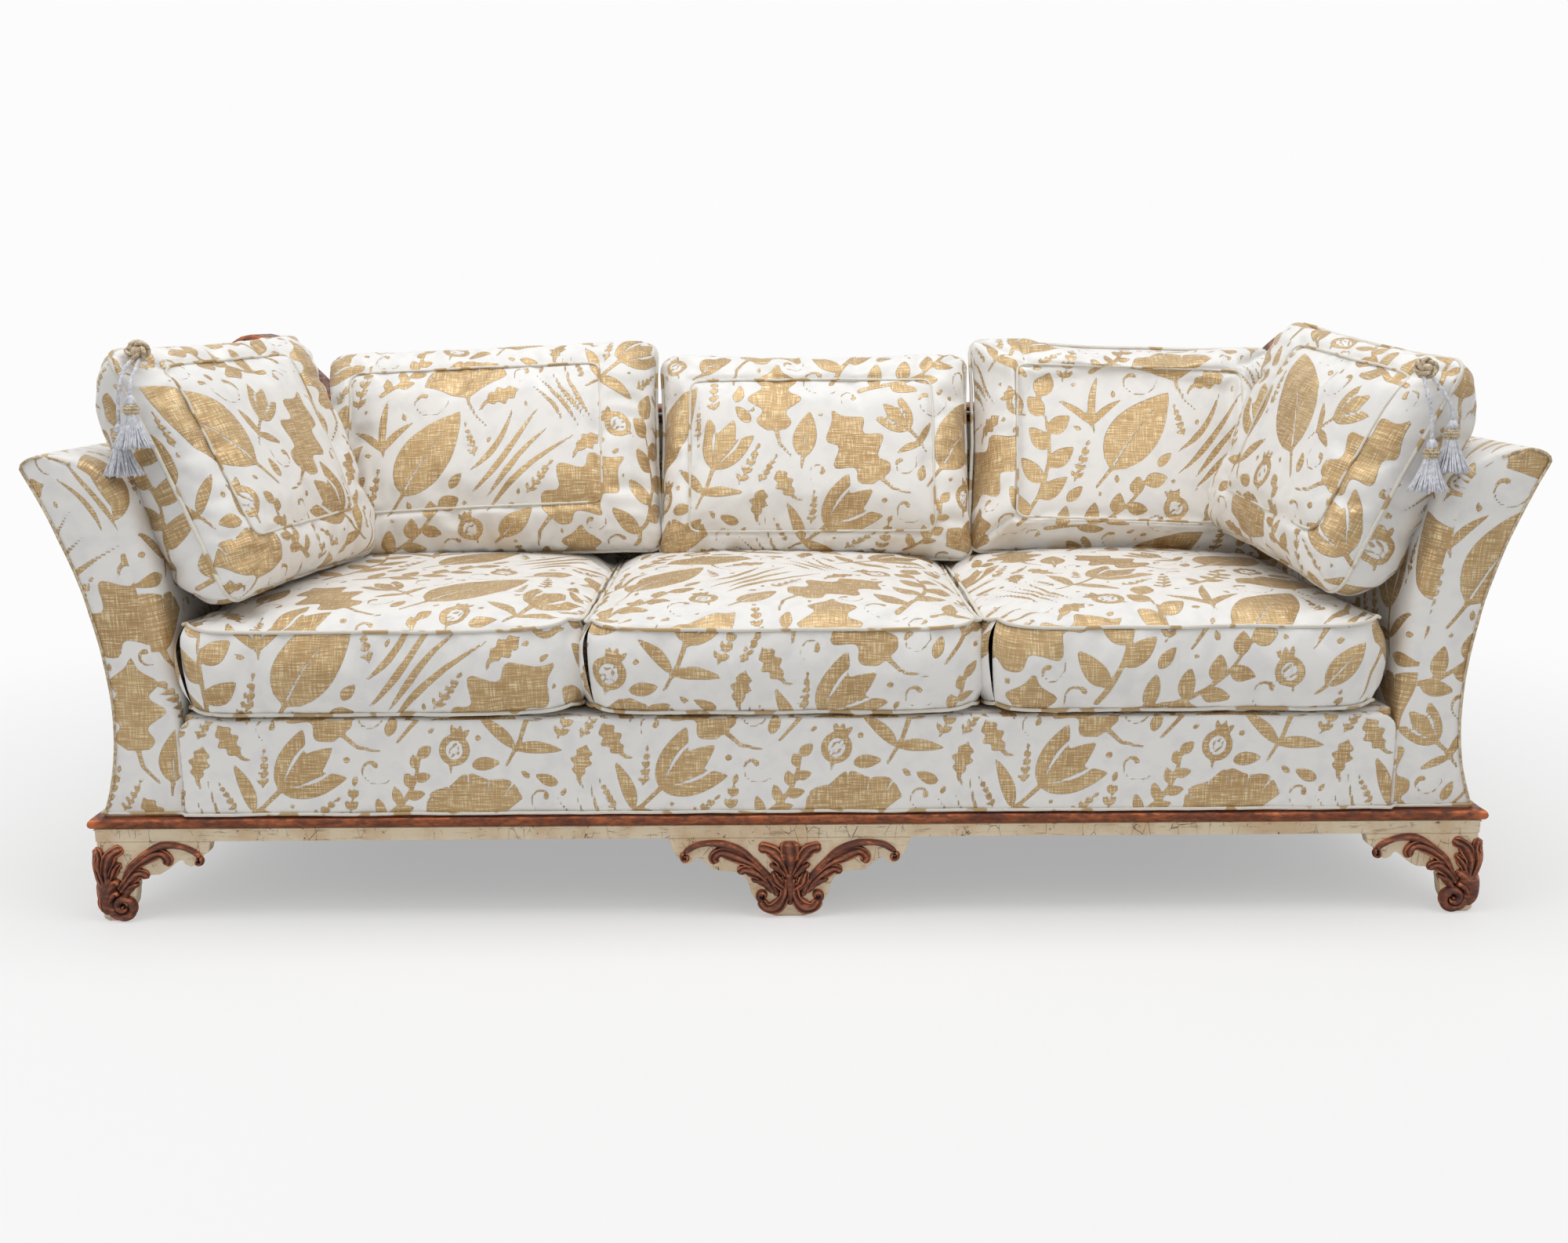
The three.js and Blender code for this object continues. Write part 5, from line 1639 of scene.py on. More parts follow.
@dataclass
class Arm:
    """A swept-out arm: one cover from the seat over the roll to the outside, with a soft front."""

    hand: Hand
    waist: float = 1.061
    tip_flare: float = 0.104
    base_flare: float = 0.031
    bottom: float = 0.1735
    waist_height: float = 0.34
    roll_height: float = 0.66
    tip_height: float = 0.724
    top: float = 0.746
    thickness: float = 0.102
    swell: float = 0.024
    nose: float = 0.040
    front: float = -0.438
    rear: float = 0.3795
    rake: float = 0.0875
    inner_round: float = 0.026
    outer_round: float = 0.003
    cell: float = 0.0095

    def outer(self, z: np.ndarray) -> np.ndarray:
        """Half width outside at a height."""
        under = np.clip((self.waist_height - z) / (self.waist_height - self.bottom), 0, None)
        over = np.clip((z - self.waist_height) / (self.tip_height - self.waist_height), 0, 1)
        body = self.waist + self.base_flare * under ** 2.2 + self.tip_flare * over ** 1.9
        lift = np.clip((z - self.tip_height) / (self.top - self.tip_height), 0, 1)
        return np.where(z > self.tip_height, self.centre + self.nose * np.sqrt(1 - lift ** 2), body)

    def inner(self, z: np.ndarray) -> np.ndarray:
        """Half width inside at a height."""
        low = np.minimum(z, self.roll_height)
        share = np.clip((low - self.waist_height) / (self.roll_height - self.waist_height), 0, None)
        over = np.clip((low - self.waist_height) / (self.tip_height - self.waist_height), 0, 1)
        body = self.waist + self.tip_flare * over ** 1.9 - self.thickness - self.swell * share ** 2
        lift = np.clip((z - self.roll_height) / (self.top - self.roll_height), 0, 1)
        return self.centre - (self.centre - body) * np.sqrt(1 - lift ** 2)

    @property
    def centre(self) -> float:
        """Where the top of the arm is highest."""
        return self.waist + self.tip_flare - self.nose

    def section(self) -> tuple[np.ndarray, np.ndarray, np.ndarray]:
        """The arm's outline in X and Z, from inside bottom over the top to outside bottom.

        Returns:
            Points, outward directions, and distance along it.
        """
        straight = np.linspace(self.bottom, self.roll_height, round((self.roll_height - self.bottom) / self.cell))
        turn = np.linspace(0, math.pi / 2, 19)[1:]
        levels = np.concatenate([straight, self.roll_height + (self.top - self.roll_height) * np.sin(turn)])
        inside = np.stack([self.inner(levels), levels], -1)
        outside = np.stack([self.outer(levels), levels], -1)[:-1][::-1]
        line = np.concatenate([inside, outside])
        way = np.gradient(line, axis=0)
        out = np.stack([-way[:, 1], way[:, 0]], -1)
        out /= np.linalg.norm(out, axis=1)[:, None]
        run = np.concatenate([[0], np.cumsum(np.linalg.norm(np.diff(line, axis=0), axis=1))])
        return line, out, run

    def build(self, room: Workroom) -> None:
        """Sews the cover and the trim on its outer front edge.

        Args:
            room: Shared finishes.
        """
        side = self.hand.name.lower()
        line, out, run = self.section()
        half = len(line) // 2
        share = np.clip(np.arange(len(line)) / half, 0, 1)
        rounding = self.inner_round * (1 - share ** 6) + self.outer_round * share ** 6
        rise = np.clip((line[:, 1] - 0.31) / 0.07, 0, 1)
        rounding = np.minimum(rounding, 0.004 + (self.inner_round - 0.004) * rise * rise * (3 - 2 * rise))
        depth = np.concatenate([np.array([0, 0.04, 0.12, 0.25, 0.42, 0.65, 1.0]) * self.inner_round])
        far = np.linspace(self.front + self.inner_round, 1, 2)[0]
        end = self.rear + self.rake * (line[:, 1] - self.bottom)
        steps = round((self.rear - far) / self.cell)
        rows = []
        for d in depth:
            pull = rounding - np.sqrt(np.clip(rounding ** 2 - np.clip(rounding - d, 0, None) ** 2, 0, None))
            rows.append((line - out * pull[:, None], np.full(len(line), self.front + d)))
        for t in np.linspace(0, 1, steps + 1)[1:]:
            rows.append((line, far + (end - far) * t))
        body = np.stack([np.stack([self.hand.value * p[:, 0], y, p[:, 1]], -1) for p, y in rows])
        soft = np.clip((body[..., 1] - self.front) / 0.05, 0, 1)
        wave = ripple(body.reshape(-1, 3), 41 + self.hand.value, 0.3).reshape(soft.shape) * 0.0022 * soft
        body[..., 0] += self.hand.value * out[None, :, 0] * wave
        body[..., 2] += out[None, :, 1] * wave
        cloth = np.stack([body[..., 1] + 0.11, np.broadcast_to(run, soft.shape) + 0.07 * self.hand.value], -1)
        t = np.linspace(0, 1, 13)[:, None, None]
        face, back = (end[:half + 1][None] * (1 - t) + end[:half - 1:-1][None] * t for end in (body[0], body[-1]))
        crown = 0.0045 * np.sin(math.pi * t[..., 0]) ** 2
        pucker = 0.0007 * np.sin(face[..., 2] / 0.0075 + 2 * np.sin(face[..., 2] / 0.05)) * np.sin(math.pi * t[..., 0] ** 2) ** 2
        face[..., 1] -= crown * np.clip((face[..., 2] - self.bottom) / 0.03, 0, 1) + pucker
        quilt = Quilt().add(body, cloth)
        for end in (face, back):
            quilt.add(end, np.stack([end[..., 0] + 0.3, end[..., 2] + 0.17], -1))
        obj = quilt.sewn(f"arm_cover_{side}")
        finer = obj.modifiers.new("finer", "SUBSURF")
        finer.levels = finer.render_levels = 1
        finer.uv_smooth = "NONE"
        room.figured(smoothed(settled(obj)))
        nodes = [f"arm_{part}_{side}" for part in ("facing", "inside_pad", "outside_panel")]
        room.place(obj, room.finishes.brocade, Slot.BROCADE, "frame", *nodes)
        edge = body[0][half - 4:]
        trim = room.welt(f"arm_trim_{side}", edge - (0, 0.001, 0), "frame", False, 0.0022)
        trim.data.materials[0] = room.finishes.gold


# Back, border, deck


@dataclass
class Body:
    """The back, the front border, the deck and the cloth underneath."""

    ear: float = 1.128
    ear_start: float = 1.065
    sweep: float = 0.245
    low: float = 0.768
    high: float = 0.915
    shoulder: float = 0.858
    crest: float = 0.030
    cord: float = 0.0037

    def crest_half(self) -> np.ndarray:
        """The top line of the back from the middle out to the arm."""
        t = np.linspace(0, 1, 40)
        rise = (self.high - self.low) * (1 - np.cos(math.pi * t ** 1.35)) / 2
        sweep = np.stack([self.ear_start - self.sweep + self.sweep * t, self.low + rise], -1)
        a = np.linspace(math.pi / 2, 0, 16)[1:]
        tip = np.stack([self.ear_start + (self.ear - self.ear_start) * np.cos(a), self.shoulder + (self.high - self.shoulder) * np.sin(a)], -1)
        return np.concatenate([[[0, self.low]], sweep, tip, [[self.ear, 0.7463]]])

    def build(self, room: Workroom) -> None:
        """Covers the back, border and deck.

        Args:
            room: Shared finishes.
        """
        room.upholstered("back_inside_cover", ["back_inside_pad"], "frame", 0.008, 6, (0.1, 0.2), 51)
        room.upholstered("back_outside_cover", ["back_outside_panel"], "frame", 0.006, 3, (0.32, 0.1), 52)
        room.upholstered("front_border_cover", ["seat_front_border"], "frame", 0.0045, 5, (0.17, 0.05), 53)
        room.upholstered("deck_cover", ["seat_deck"], "frame", 0.009, 3, (0.02, 0.3), 54)
        self.add_crest(room)
        self.add_welts(room)
        self.add_dust_cover(room)

    def add_crest(self, room: Workroom) -> None:
        """Adds the show-wood crest and the twisted cord on its front edge.

        Args:
            room: Shared finishes.
        """
        crest = solid_copy("crest_leaf", ["back_crest"], 0.0045, 4)
        room.place(crest, room.finishes.leaf, Slot.LEAF, "frame", "back_crest")
        half = self.crest_half()
        line = np.concatenate([half[:0:-1] * (-1, 1), half])
        way = np.gradient(line, axis=0)
        way /= np.linalg.norm(way, axis=1)[:, None]
        middle = (line + np.stack([way[:, 1], -way[:, 0]], -1) * self.crest / 2)[1:-1]
        y = 0.392 + 0.0875 * (middle[:, 1] - 0.1726) - 0.1106 - 0.0071
        path = resampled(np.stack([middle[:, 0], y, middle[:, 1]], -1), 0.0022)
        cord = rope("crest_rope", path, self.cord, 10, 2, 0.022)
        room.place(cord, room.finishes.silver, Slot.SILVER, "frame", "crest_cord")

    def add_welts(self, room: Workroom) -> None:
        """Adds the piping above the moulding and round the border.

        Args:
            room: Shared finishes.
        """
        z = 0.1775
        corner = [(math.cos(a), math.sin(a)) for a in np.linspace(0, math.pi / 2, 6)]
        right = [(1.0935 - 0.008 + 0.008 * c, -0.4325 - 0.008 * s, z) for c, s in corner]
        front = [(0.962, -0.4405, z), (0.955, -0.4505, z)]
        path = [(1.0935, 0.385, z), *right, *front]
        path += [(-x, y, h) for x, y, h in path[::-1]]
        room.welt("base_piping", np.array(path), "frame", False, 0.0026)

    def add_dust_cover(self, room: Workroom) -> None:
        """Adds the thin black cloth tacked under the seat.

        Args:
            room: Shared finishes.
        """
        low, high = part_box("dust_cover")
        x, y = np.meshgrid(np.linspace(low.x, high.x, 90), np.linspace(low.y, high.y, 40), indexing="ij")
        a, b = (2 * (x - low.x) / (high.x - low.x) - 1), (2 * (y - low.y) / (high.y - low.y) - 1)
        sag = 0.006 * dome(a, b, 2, 1)
        grid = np.stack([x, y, (low.z + high.z) / 2 - sag], -1)
        obj = Quilt().add(grid, np.stack([x, y], -1)).sewn("underside_cloth")
        room.place(obj, room.finishes.cambric, Slot.CAMBRIC, "frame", "dust_cover")


# Plinth, feet and carving


@dataclass
class Plinth:
    """Painted rails and feet, leafed moulding and a painted bead; the leafed carving is built by Carving."""

    half: float = 1.102
    front: float = -0.448
    rear: float = 0.400
    low: float = 0.1556
    high: float = 0.1726
    proud: float = 0.008

    def build(self, room: Workroom) -> None:
        """Dresses the plinth.

        Args:
            room: Shared finishes.
        """
        nodes = frame["nodes"]
        for name in nodes:
            if name.startswith("plinth_rail"):
                self.finish(nodes[name], room.finishes.paint)
        self.add_moulding(room)
        self.add_bead(room)
        self.add_feet(room)

    def add_feet(self, room: Workroom) -> None:
        """Softens the edges of the feet, as worn paint does.

        Args:
            room: Shared finishes.
        """
        for node in [name for name in frame["nodes"] if name.startswith("foot_")]:
            worn = solid_copy(f"worn_{node}", [node], 0.0026, 4)
            room.place(worn, room.finishes.paint, Slot.PAINT, "frame", node)

    @staticmethod
    def finish(node: bpy.types.Object, material: bpy.types.Material) -> None:
        """Gives a carried-over solid its material.

        Args:
            node: The solid.
            material: The material.
        """
        if not node.material_slots:
            node.data.materials.append(material)
        for slot in node.material_slots:
            slot.material = material

    def along(self, out: float, z: float) -> np.ndarray:
        """A line round three sides of the plinth, so far out and so high."""
        x, y = self.half + out, self.front - out
        return np.array([(-x, self.rear, z), (-x, y, z), (x, y, z), (x, self.rear, z)])

    def add_moulding(self, room: Workroom) -> None:
        """Adds the half-round moulding, mitred at the front corners.

        Args:
            room: Shared finishes.
        """
        middle, half = (self.low + self.high) / 2, (self.high - self.low) / 2
        turn = np.linspace(-math.pi / 2, math.pi / 2, 13)
        profile = [(self.proud * math.cos(a), middle + half * math.sin(a)) for a in turn]
        profile = [(-0.02, self.low), (0, self.low), *profile[1:-1], (0, self.high), (-0.02, self.high), (-0.02, self.low)]
        lines = []
        for out, z in profile:
            corners = self.along(out, z)
            parts = [corners[i] + (corners[i + 1] - corners[i]) * np.linspace(0, 1, n)[:, None] for i, n in ((0, 60), (1, 160), (2, 60))]
            line = np.concatenate([parts[0], parts[1][1:], parts[2][1:]])
            wear = ripple(line, 71, 0.06) * 0.0005 * (out > 0)
            lines.append(line + (line - (0, 0, middle)) * (0, 0, 0) + np.stack([0 * wear, -wear, wear], -1))
        obj = Quilt().add(np.stack(lines)).sewn("leafed_moulding")
        smoothed(obj, 40)
        room.place(obj, room.finishes.leaf, Slot.LEAF, "frame", "gilt_moulding_front", "gilt_moulding_left", "gilt_moulding_right")

    def add_bead(self, room: Workroom) -> None:
        """Adds the thin painted bead under the moulding.

        Args:
            room: Shared finishes.
        """
        line = resampled(self.along(0.0008, self.low - 0.0018), 0.012)
        bead = rope("painted_bead", line, 0.0019, 8)
        room.place(bead, room.finishes.paint, Slot.PAINT, "frame")


@dataclass(frozen=True)
class Blade:
    """One carved acanthus blade: its route in metres, greatest half width, rise, ends and flutes."""

    route: tuple[tuple[float, float], ...]
    width: float
    rise: float
    root: float = 0.6
    tip: float = 0.55
    flutes: int = 2
    lobes: float = 2.5

    def grid(self, face: float) -> tuple[np.ndarray, np.ndarray]:
        """The blade's front and its back, standing out from a plane that faces the front.

        Args:
            face: Where the plane is.

        Returns:
            Two grids with a common border.
        """
        line = resampled(curved([(x, 0, z) for x, z in self.route], 8), 0.0014)
        way = np.gradient(line, axis=0)
        way /= np.linalg.norm(way, axis=1)[:, None] + 1e-9
        side = np.stack([-way[:, 2], 0 * way[:, 1], way[:, 0]], -1)
        t = np.linspace(0, 1, len(line))[:, None]
        s = np.linspace(-1, 1, 25)[None, :]
        length = np.linalg.norm(np.diff(line, axis=0), axis=1).sum()
        ends = np.clip(t * length / 0.004, 0, 1) * np.clip((1 - t) * length / 0.005, 0, 1)
        half = self.width * np.interp(t, [0, 0.3, 0.65, 0.9, 1], [self.root, 0.9, 1, 0.5 + self.tip / 2, self.tip])
        half = half * (0.9 + 0.2 * abs(np.sin(self.lobes * math.pi * t))) * np.sqrt(0.25 + 0.75 * ends)
        ridge = 0.5 + 0.5 * abs(np.cos(math.pi * self.flutes * s / 2 + 0.4 * np.sin(5 * t)))
        high = self.rise * (0.62 + 0.38 * np.sin(math.pi * t ** 1.3)) * np.sqrt(ends) * np.sqrt(1 - abs(s) ** 2.6) * ridge
        points = line[:, None] + side[:, None] * (half * s)[..., None]
        front, back = points.copy(), points.copy()
        front[..., 1] = face - high
        back[..., 1] = face + 0.001 * (high > 0)
        return front, back


@dataclass
class Carving:
    """Leafed acanthus carving on the two front feet and the centre drop."""

    face: float = -0.4478
    edge: float = 1.1018
    reach: float = 0.182
    drop_reach: float = 0.194
    height: float = 0.133

    def build(self, room: Workroom) -> None:
        """Carves all three.

        Args:
            room: Shared finishes.
        """
        for hand in Hand:
            def spot(u: float, z: float) -> tuple[float, float]:
                return hand.value * (self.edge - u * self.reach), z * self.height
            self.carve(room, f"carving_front_{hand.name.lower()}", self.foot_blades(spot), hand)
        blades = []
        for hand in Hand:
            def spot(u: float, z: float) -> tuple[float, float]:
                return hand.value * u * self.drop_reach, z * self.height
            blades += self.drop_blades(spot)
        self.carve(room, "carving_front_centre", blades + self.spine())

    def carve(self, room: Workroom, node: str, blades: Sequence[Blade], corner: Hand | None = None) -> None:
        """Joins some blades into the carving that stands for a solid.

        Args:
            room: Shared finishes.
            node: The solid.
            blades: Its blades.
            corner: The corner round which they go again, on the side face.
        """
        pieces = []
        for i, blade in enumerate(blades):
            front, back = blade.grid(self.face)
            pieces.append(Quilt().add(front).add(back[::-1]).sewn(f"{node}_{i}"))
            if corner:
                front, back = (self.round_corner(grid, corner) for grid in (front, back))
                pieces.append(Quilt().add(front).add(back[::-1]).sewn(f"{node}_side_{i}"))
        made = joined(node.replace("carving", "acanthus"), pieces)
        room.place(made, room.finishes.carved, Slot.LEAF, "frame", node)

    def round_corner(self, grid: np.ndarray, corner: Hand) -> np.ndarray:
        """A grid on the front face as it lies on the side face."""
        x = corner.value * (self.edge + self.face - grid[..., 1])
        y = self.face + self.edge - corner.value * grid[..., 0]
        return np.stack([x, y, grid[..., 2]], -1)

    @staticmethod
    def curl(centre: tuple[float, float], radius: float, start: float, turns: float) -> tuple[tuple[float, float], ...]:
        """A spiral that winds in to its eye.

        Args:
            centre: Its eye.
            radius: Its radius where it starts.
            start: Where it starts, in radians.
            turns: How many turns, negative for clockwise.

        Returns:
            Points on it.
        """
        t = np.linspace(0, 1, 14)
        angle, r = start + turns * 2 * math.pi * t, radius * (1 - 0.8 * t)
        return tuple((centre[0] + a, centre[1] + b) for a, b in zip(r * np.cos(angle), r * np.sin(angle)))

    def foot_blades(self, spot: Callable[[float, float], tuple[float, float]]) -> list[Blade]:
        """The blades of a front foot.

        Args:
            spot: Turns shares of the foot's reach and height into a place.

        Returns:
            The blades, the low ones first.
        """
        hand = 1 if spot(1, 0)[0] > spot(0, 0)[0] else -1
        start = math.pi * (1 if hand > 0 else 0)
        return [
            Blade(tuple(spot(*p) for p in ((0.1, 0.1), (0.04, 0.24), (0.07, 0.42), (0.13, 0.56))), 0.016, 0.0105, 0.7, 0.6, 1),
            Blade(tuple(spot(*p) for p in ((0.2, 0.36), (0.26, 0.62), (0.37, 0.79), (0.55, 0.94), (0.72, 0.945), (0.86, 0.86), (0.895, 0.78))), 0.0062, 0.009, 1.0, 0.7, 1),
            Blade(tuple(spot(*p) for p in ((0.2, 0.46), (0.31, 0.68), (0.45, 0.82), (0.56, 0.86), (0.615, 0.78), (0.59, 0.7))), 0.0105, 0.0105, 0.5, 0.65, 2),
            Blade(tuple(spot(*p) for p in ((0.17, 0.36), (0.27, 0.53), (0.36, 0.61), (0.44, 0.56))), 0.0105, 0.0105, 0.6, 0.5, 2),
            Blade(tuple(spot(*p) for p in ((0.18, 0.24), (0.26, 0.42), (0.35, 0.48))), 0.007, 0.009, 0.6, 0.4, 1),
            Blade(tuple(spot(*p) for p in ((0.05, 0.4), (0.01, 0.66), (0.025, 0.82), (-0.005, 0.93))), 0.0085, 0.0105, 0.7, 0.75, 2),
            Blade(tuple(spot(*p) for p in ((0.07, 0.42), (0.07, 0.66), (0.13, 0.84), (0.23, 0.92))), 0.0115, 0.0115, 0.5, 0.6, 2),
            Blade(tuple(spot(*p) for p in ((0.03, 0.3), (0.08, 0.4), (0.14, 0.5), (0.17, 0.44))), 0.008, 0.0118, 0.5, 0.6, 1),
            Blade(tuple(spot(*p) for p in ((0.05, 0.18), (0.09, 0.3), (0.14, 0.36), (0.15, 0.3))), 0.007, 0.0115, 0.5, 0.6, 1),
            Blade(tuple(spot(*p) for p in ((0.08, 0.46), (0.14, 0.64), (0.2, 0.74))), 0.008, 0.01, 0.6, 0.5, 2),
            Blade(self.curl(spot(0.19, 0.19), 0.021, start, hand * 1.5), 0.0078, 0.0114, 1.0, 0.8, 1, 5),
            Blade(self.curl(spot(0.885, 0.755), 0.007, math.pi / 2, -hand * 1.1), 0.0034, 0.0095, 1.0, 1.0, 1),
            Blade((spot(0.17, 0.19), spot(0.21, 0.19)), 0.0042, 0.0118, 1.0, 1.0, 1),
        ]

    def drop_blades(self, spot: Callable[[float, float], tuple[float, float]]) -> list[Blade]:
        """The blades of one half of the centre drop.

        Args:
            spot: Turns shares of the drop's reach and height into a place.

        Returns:
            The blades, the low ones first.
        """
        hand = 1 if spot(1, 0)[0] > 0 else -1
        return [
            Blade(tuple(spot(*p) for p in ((0.1, 0.26), (0.16, 0.46), (0.27, 0.66), (0.4, 0.84), (0.58, 0.93), (0.75, 0.92), (0.87, 0.82))), 0.0062, 0.009, 1.0, 0.7, 1),
            Blade(tuple(spot(*p) for p in ((0.18, 0.48), (0.3, 0.66), (0.43, 0.76), (0.56, 0.83), (0.625, 0.76), (0.6, 0.68))), 0.0105, 0.0105, 0.5, 0.65, 2),
            Blade(tuple(spot(*p) for p in ((0.16, 0.38), (0.25, 0.53), (0.36, 0.61), (0.43, 0.56))), 0.0105, 0.0105, 0.6, 0.5, 2),
            Blade(tuple(spot(*p) for p in ((0.13, 0.3), (0.22, 0.44), (0.32, 0.48))), 0.007, 0.009, 0.6, 0.4, 1),
            Blade(tuple(spot(*p) for p in ((0.03, 0.5), (0.035, 0.3), (0.1, 0.14), (0.19, 0.12), (0.25, 0.22))), 0.011, 0.0112, 0.7, 0.6, 2),
            Blade(self.curl(spot(0.225, 0.27), 0.009, math.pi / 2 + hand * math.pi * 0.9, hand * 1.1), 0.0048, 0.0105, 1.0, 0.8, 1),
            Blade(self.curl(spot(0.858, 0.758), 0.0075, math.pi / 2, -hand * 1.1), 0.0036, 0.0095, 1.0, 1.0, 1),
            Blade(tuple(spot(*p) for p in ((0.02, 0.34), (0.1, 0.44), (0.14, 0.58))), 0.009, 0.0105, 0.6, 0.5, 2),
            Blade(tuple(spot(*p) for p in ((0.01, 0.52), (0.08, 0.72), (0.17, 0.86), (0.26, 0.88))), 0.0112, 0.011, 0.45, 0.7, 2),
            Blade(tuple(spot(*p) for p in ((0.02, 0.5), (0.1, 0.62), (0.17, 0.67))), 0.007, 0.009, 0.6, 0.5, 1),
        ]

    def spine(self) -> list[Blade]:
        """The stem and the fan-shaped blade in the middle of the drop."""
        h = self.height
        return [
            Blade(((0, 0.14 * h), (0, 0.34 * h), (0, 0.58 * h)), 0.009, 0.0112, 0.4, 0.9, 1),
            Blade(((0, 0.5 * h), (0, 0.72 * h), (0, 0.96 * h)), 0.0165, 0.0118, 0.3, 1.0, 2, 1),
        ]


# Tassels


@dataclass
class Tassels:
    """The knot, two cords and two tassels at the top front corner of a side pillow."""

    hand: Hand
    front: tuple[Point, ...]
    rear: tuple[Point, ...]
    diameter: float = 0.006
    head: float = 0.0085
    skirt: float = 0.0305
    strands: int = 120

    def build(self, room: Workroom) -> None:
        """Makes the knot and both tassels.

        Args:
            room: Shared finishes.
        """
        side = self.hand.name.lower()
        body = f"side_cushion_{side}"
        low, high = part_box(f"knot_{side}")
        knot = np.array((low + high) / 2)
        self.add_knot(room, side, body, knot)
        for row, route in (("front", self.front), ("rear", self.rear)):
            points = curved([knot + np.array(p) / 1000 for p in route], 12)
            pieces = self.add_tassel(room, f"{side}_{row}", body, points[-1])
            fine = resampled(points, 0.0009)
            cord = rope(f"twisted_cord_{side}_{row}", fine, self.diameter / 2, 12, 2, 0.0125)
            room.place(cord, room.finishes.silver, Slot.SILVER, body, f"tassel_cord_{side}_{row}")
            path = resampled(points, 0.006)

    def add_knot(self, room: Workroom, side: str, body: str, knot: np.ndarray) -> None:
        """Plaits the knot.

        Args:
            room: Shared finishes.
            side: Which end.
            body: What it rides on.
            knot: Its middle.
        """
        t = np.linspace(0, 2 * math.pi, 260)
        wide = 0.0125 + 0.0042 * np.cos(5 * t)
        line = np.stack([wide * np.cos(3 * t), wide * np.sin(3 * t) * 0.85, 0.0062 * np.sin(5 * t)], -1)
        tilt = np.array(Euler((math.radians(68), math.radians(self.hand.value * 14), 0)).to_matrix())
        plait = rope(f"plait_{side}", line @ tilt.T + knot, 0.0036, 10, 3, 0.016, closed=True)
        core = turned(f"plait_core_{side}", [(0, -0.008), (0.008, -0.006), (0.0115, 0), (0.008, 0.006), (0, 0.008)], knot, 16)
        made = joined(f"braided_knot_{side}", [plait, core])
        room.place(made, room.finishes.gold, Slot.GOLD, body, f"knot_{side}")

    def add_tassel(self, room: Workroom, name: str, body: str, top: np.ndarray) -> list[bpy.types.Object]:
        """Makes one tassel's cap, braided band and fringe.

        Args:
            room: Shared finishes.
            name: Which one.
            body: What it rides on.
            top: Where its cord ends.

        Returns:
            Its pieces.
        """
        r = self.head
        cap = [(0, 0.0005), (0.0038, 0), (0.0058, -0.003), (r * 0.98, -0.0075), (r, -0.0115), (r * 0.8, -0.015), (0.0035, -0.0155)]
        cap_piece = turned(f"cap_{name}", cap, top, 40, 0.09, 14)
        room.place(cap_piece, room.finishes.silver, Slot.SILVER, body)
        rings = []
        for i, (radius, drop, thick) in enumerate(((r * 0.98, -0.0158, 0.0022), (r * 1.14, -0.0195, 0.0026), (r * 1.14, -0.0238, 0.0026), (r, -0.0272, 0.002))):
            t = np.linspace(0, 2 * math.pi, 40)
            line = np.stack([radius * np.cos(t), radius * np.sin(t), 0.0006 * np.sin(9 * t + i)], -1) + top + (0, 0, drop)
            rings.append(rope(f"band_{name}_{i}", line, thick, 8, 2, 0.0075, closed=True))
        inner = turned(f"band_core_{name}", [(0.003, -0.014), (r, -0.016), (r * 1.1, -0.022), (r * 0.95, -0.028), (0.003, -0.029)], top, 20)
        band = joined(f"braided_band_{name}", [*rings, inner])
        room.place(band, room.finishes.gold, Slot.GOLD, body)
        fringe = self.add_fringe(name, top)
        room.place(fringe, room.finishes.fringe, Slot.SILVER, body, f"tassel_{name}")
        return [cap_piece, band, fringe]

    def add_fringe(self, name: str, top: np.ndarray) -> bpy.types.Object:
        """Hangs the fringe, three rows of loose round strands.

        Args:
            name: Which tassel.
            top: Where its cord ends.

        Returns:
            The fringe.
        """
        rng = np.random.default_rng(len(name) * 7 + self.hand.value)
        pieces = []
        for i in range(self.strands):
            turn = 2 * math.pi * i / self.strands * 1.0 + rng.normal() * 0.05
            row = (0.62, 0.84, 1.0)[i % 3]
            reach = self.skirt * row * rng.uniform(0.86, 1.0)
            length = 0.053 * rng.uniform(0.93, 1.0)
            t = np.linspace(0, 1, 9)
            radius = self.head * 0.9 * row + (reach - self.head * 0.9 * row) * (0.25 * t + 0.75 * t ** 2.1) + 0.0022 * np.sin(math.pi * t)
            swing = turn + 0.16 * rng.normal() * t ** 2
            line = np.stack([radius * np.cos(swing), radius * np.sin(swing), -0.0265 - length * t], -1) + top
            pieces.append(rope(f"strand_{name}_{i}", line, 0.00165, 5, 0, taper=lambda s: 1.0 - 0.25 * (s > 0.97)))
        heart = turned(f"heart_{name}", [(0.001, -0.026), (self.head * 0.9, -0.028), (self.head, -0.045), (self.skirt * 0.55, -0.066), (0.001, -0.068)], top, 20)
        return joined(f"fringe_{name}", [*pieces, heart])


@dataclass
class Inside:
    """The rails, posts, stretcher and webbing under the covers."""

    def build(self, room: Workroom) -> None:
        """Gives each its wood or jute.

        Args:
            room: Shared finishes.
        """
        for name, node in frame["nodes"].items():
            if name == "seat_webbing":
                Plinth.finish(node, room.finishes.jute)
            elif name.startswith(("seat_rail", "seat_stretcher", "back_post", "back_top_rail", "arm_front_post", "arm_top_rail")):
                Plinth.finish(node, room.finishes.beech)


# Stage


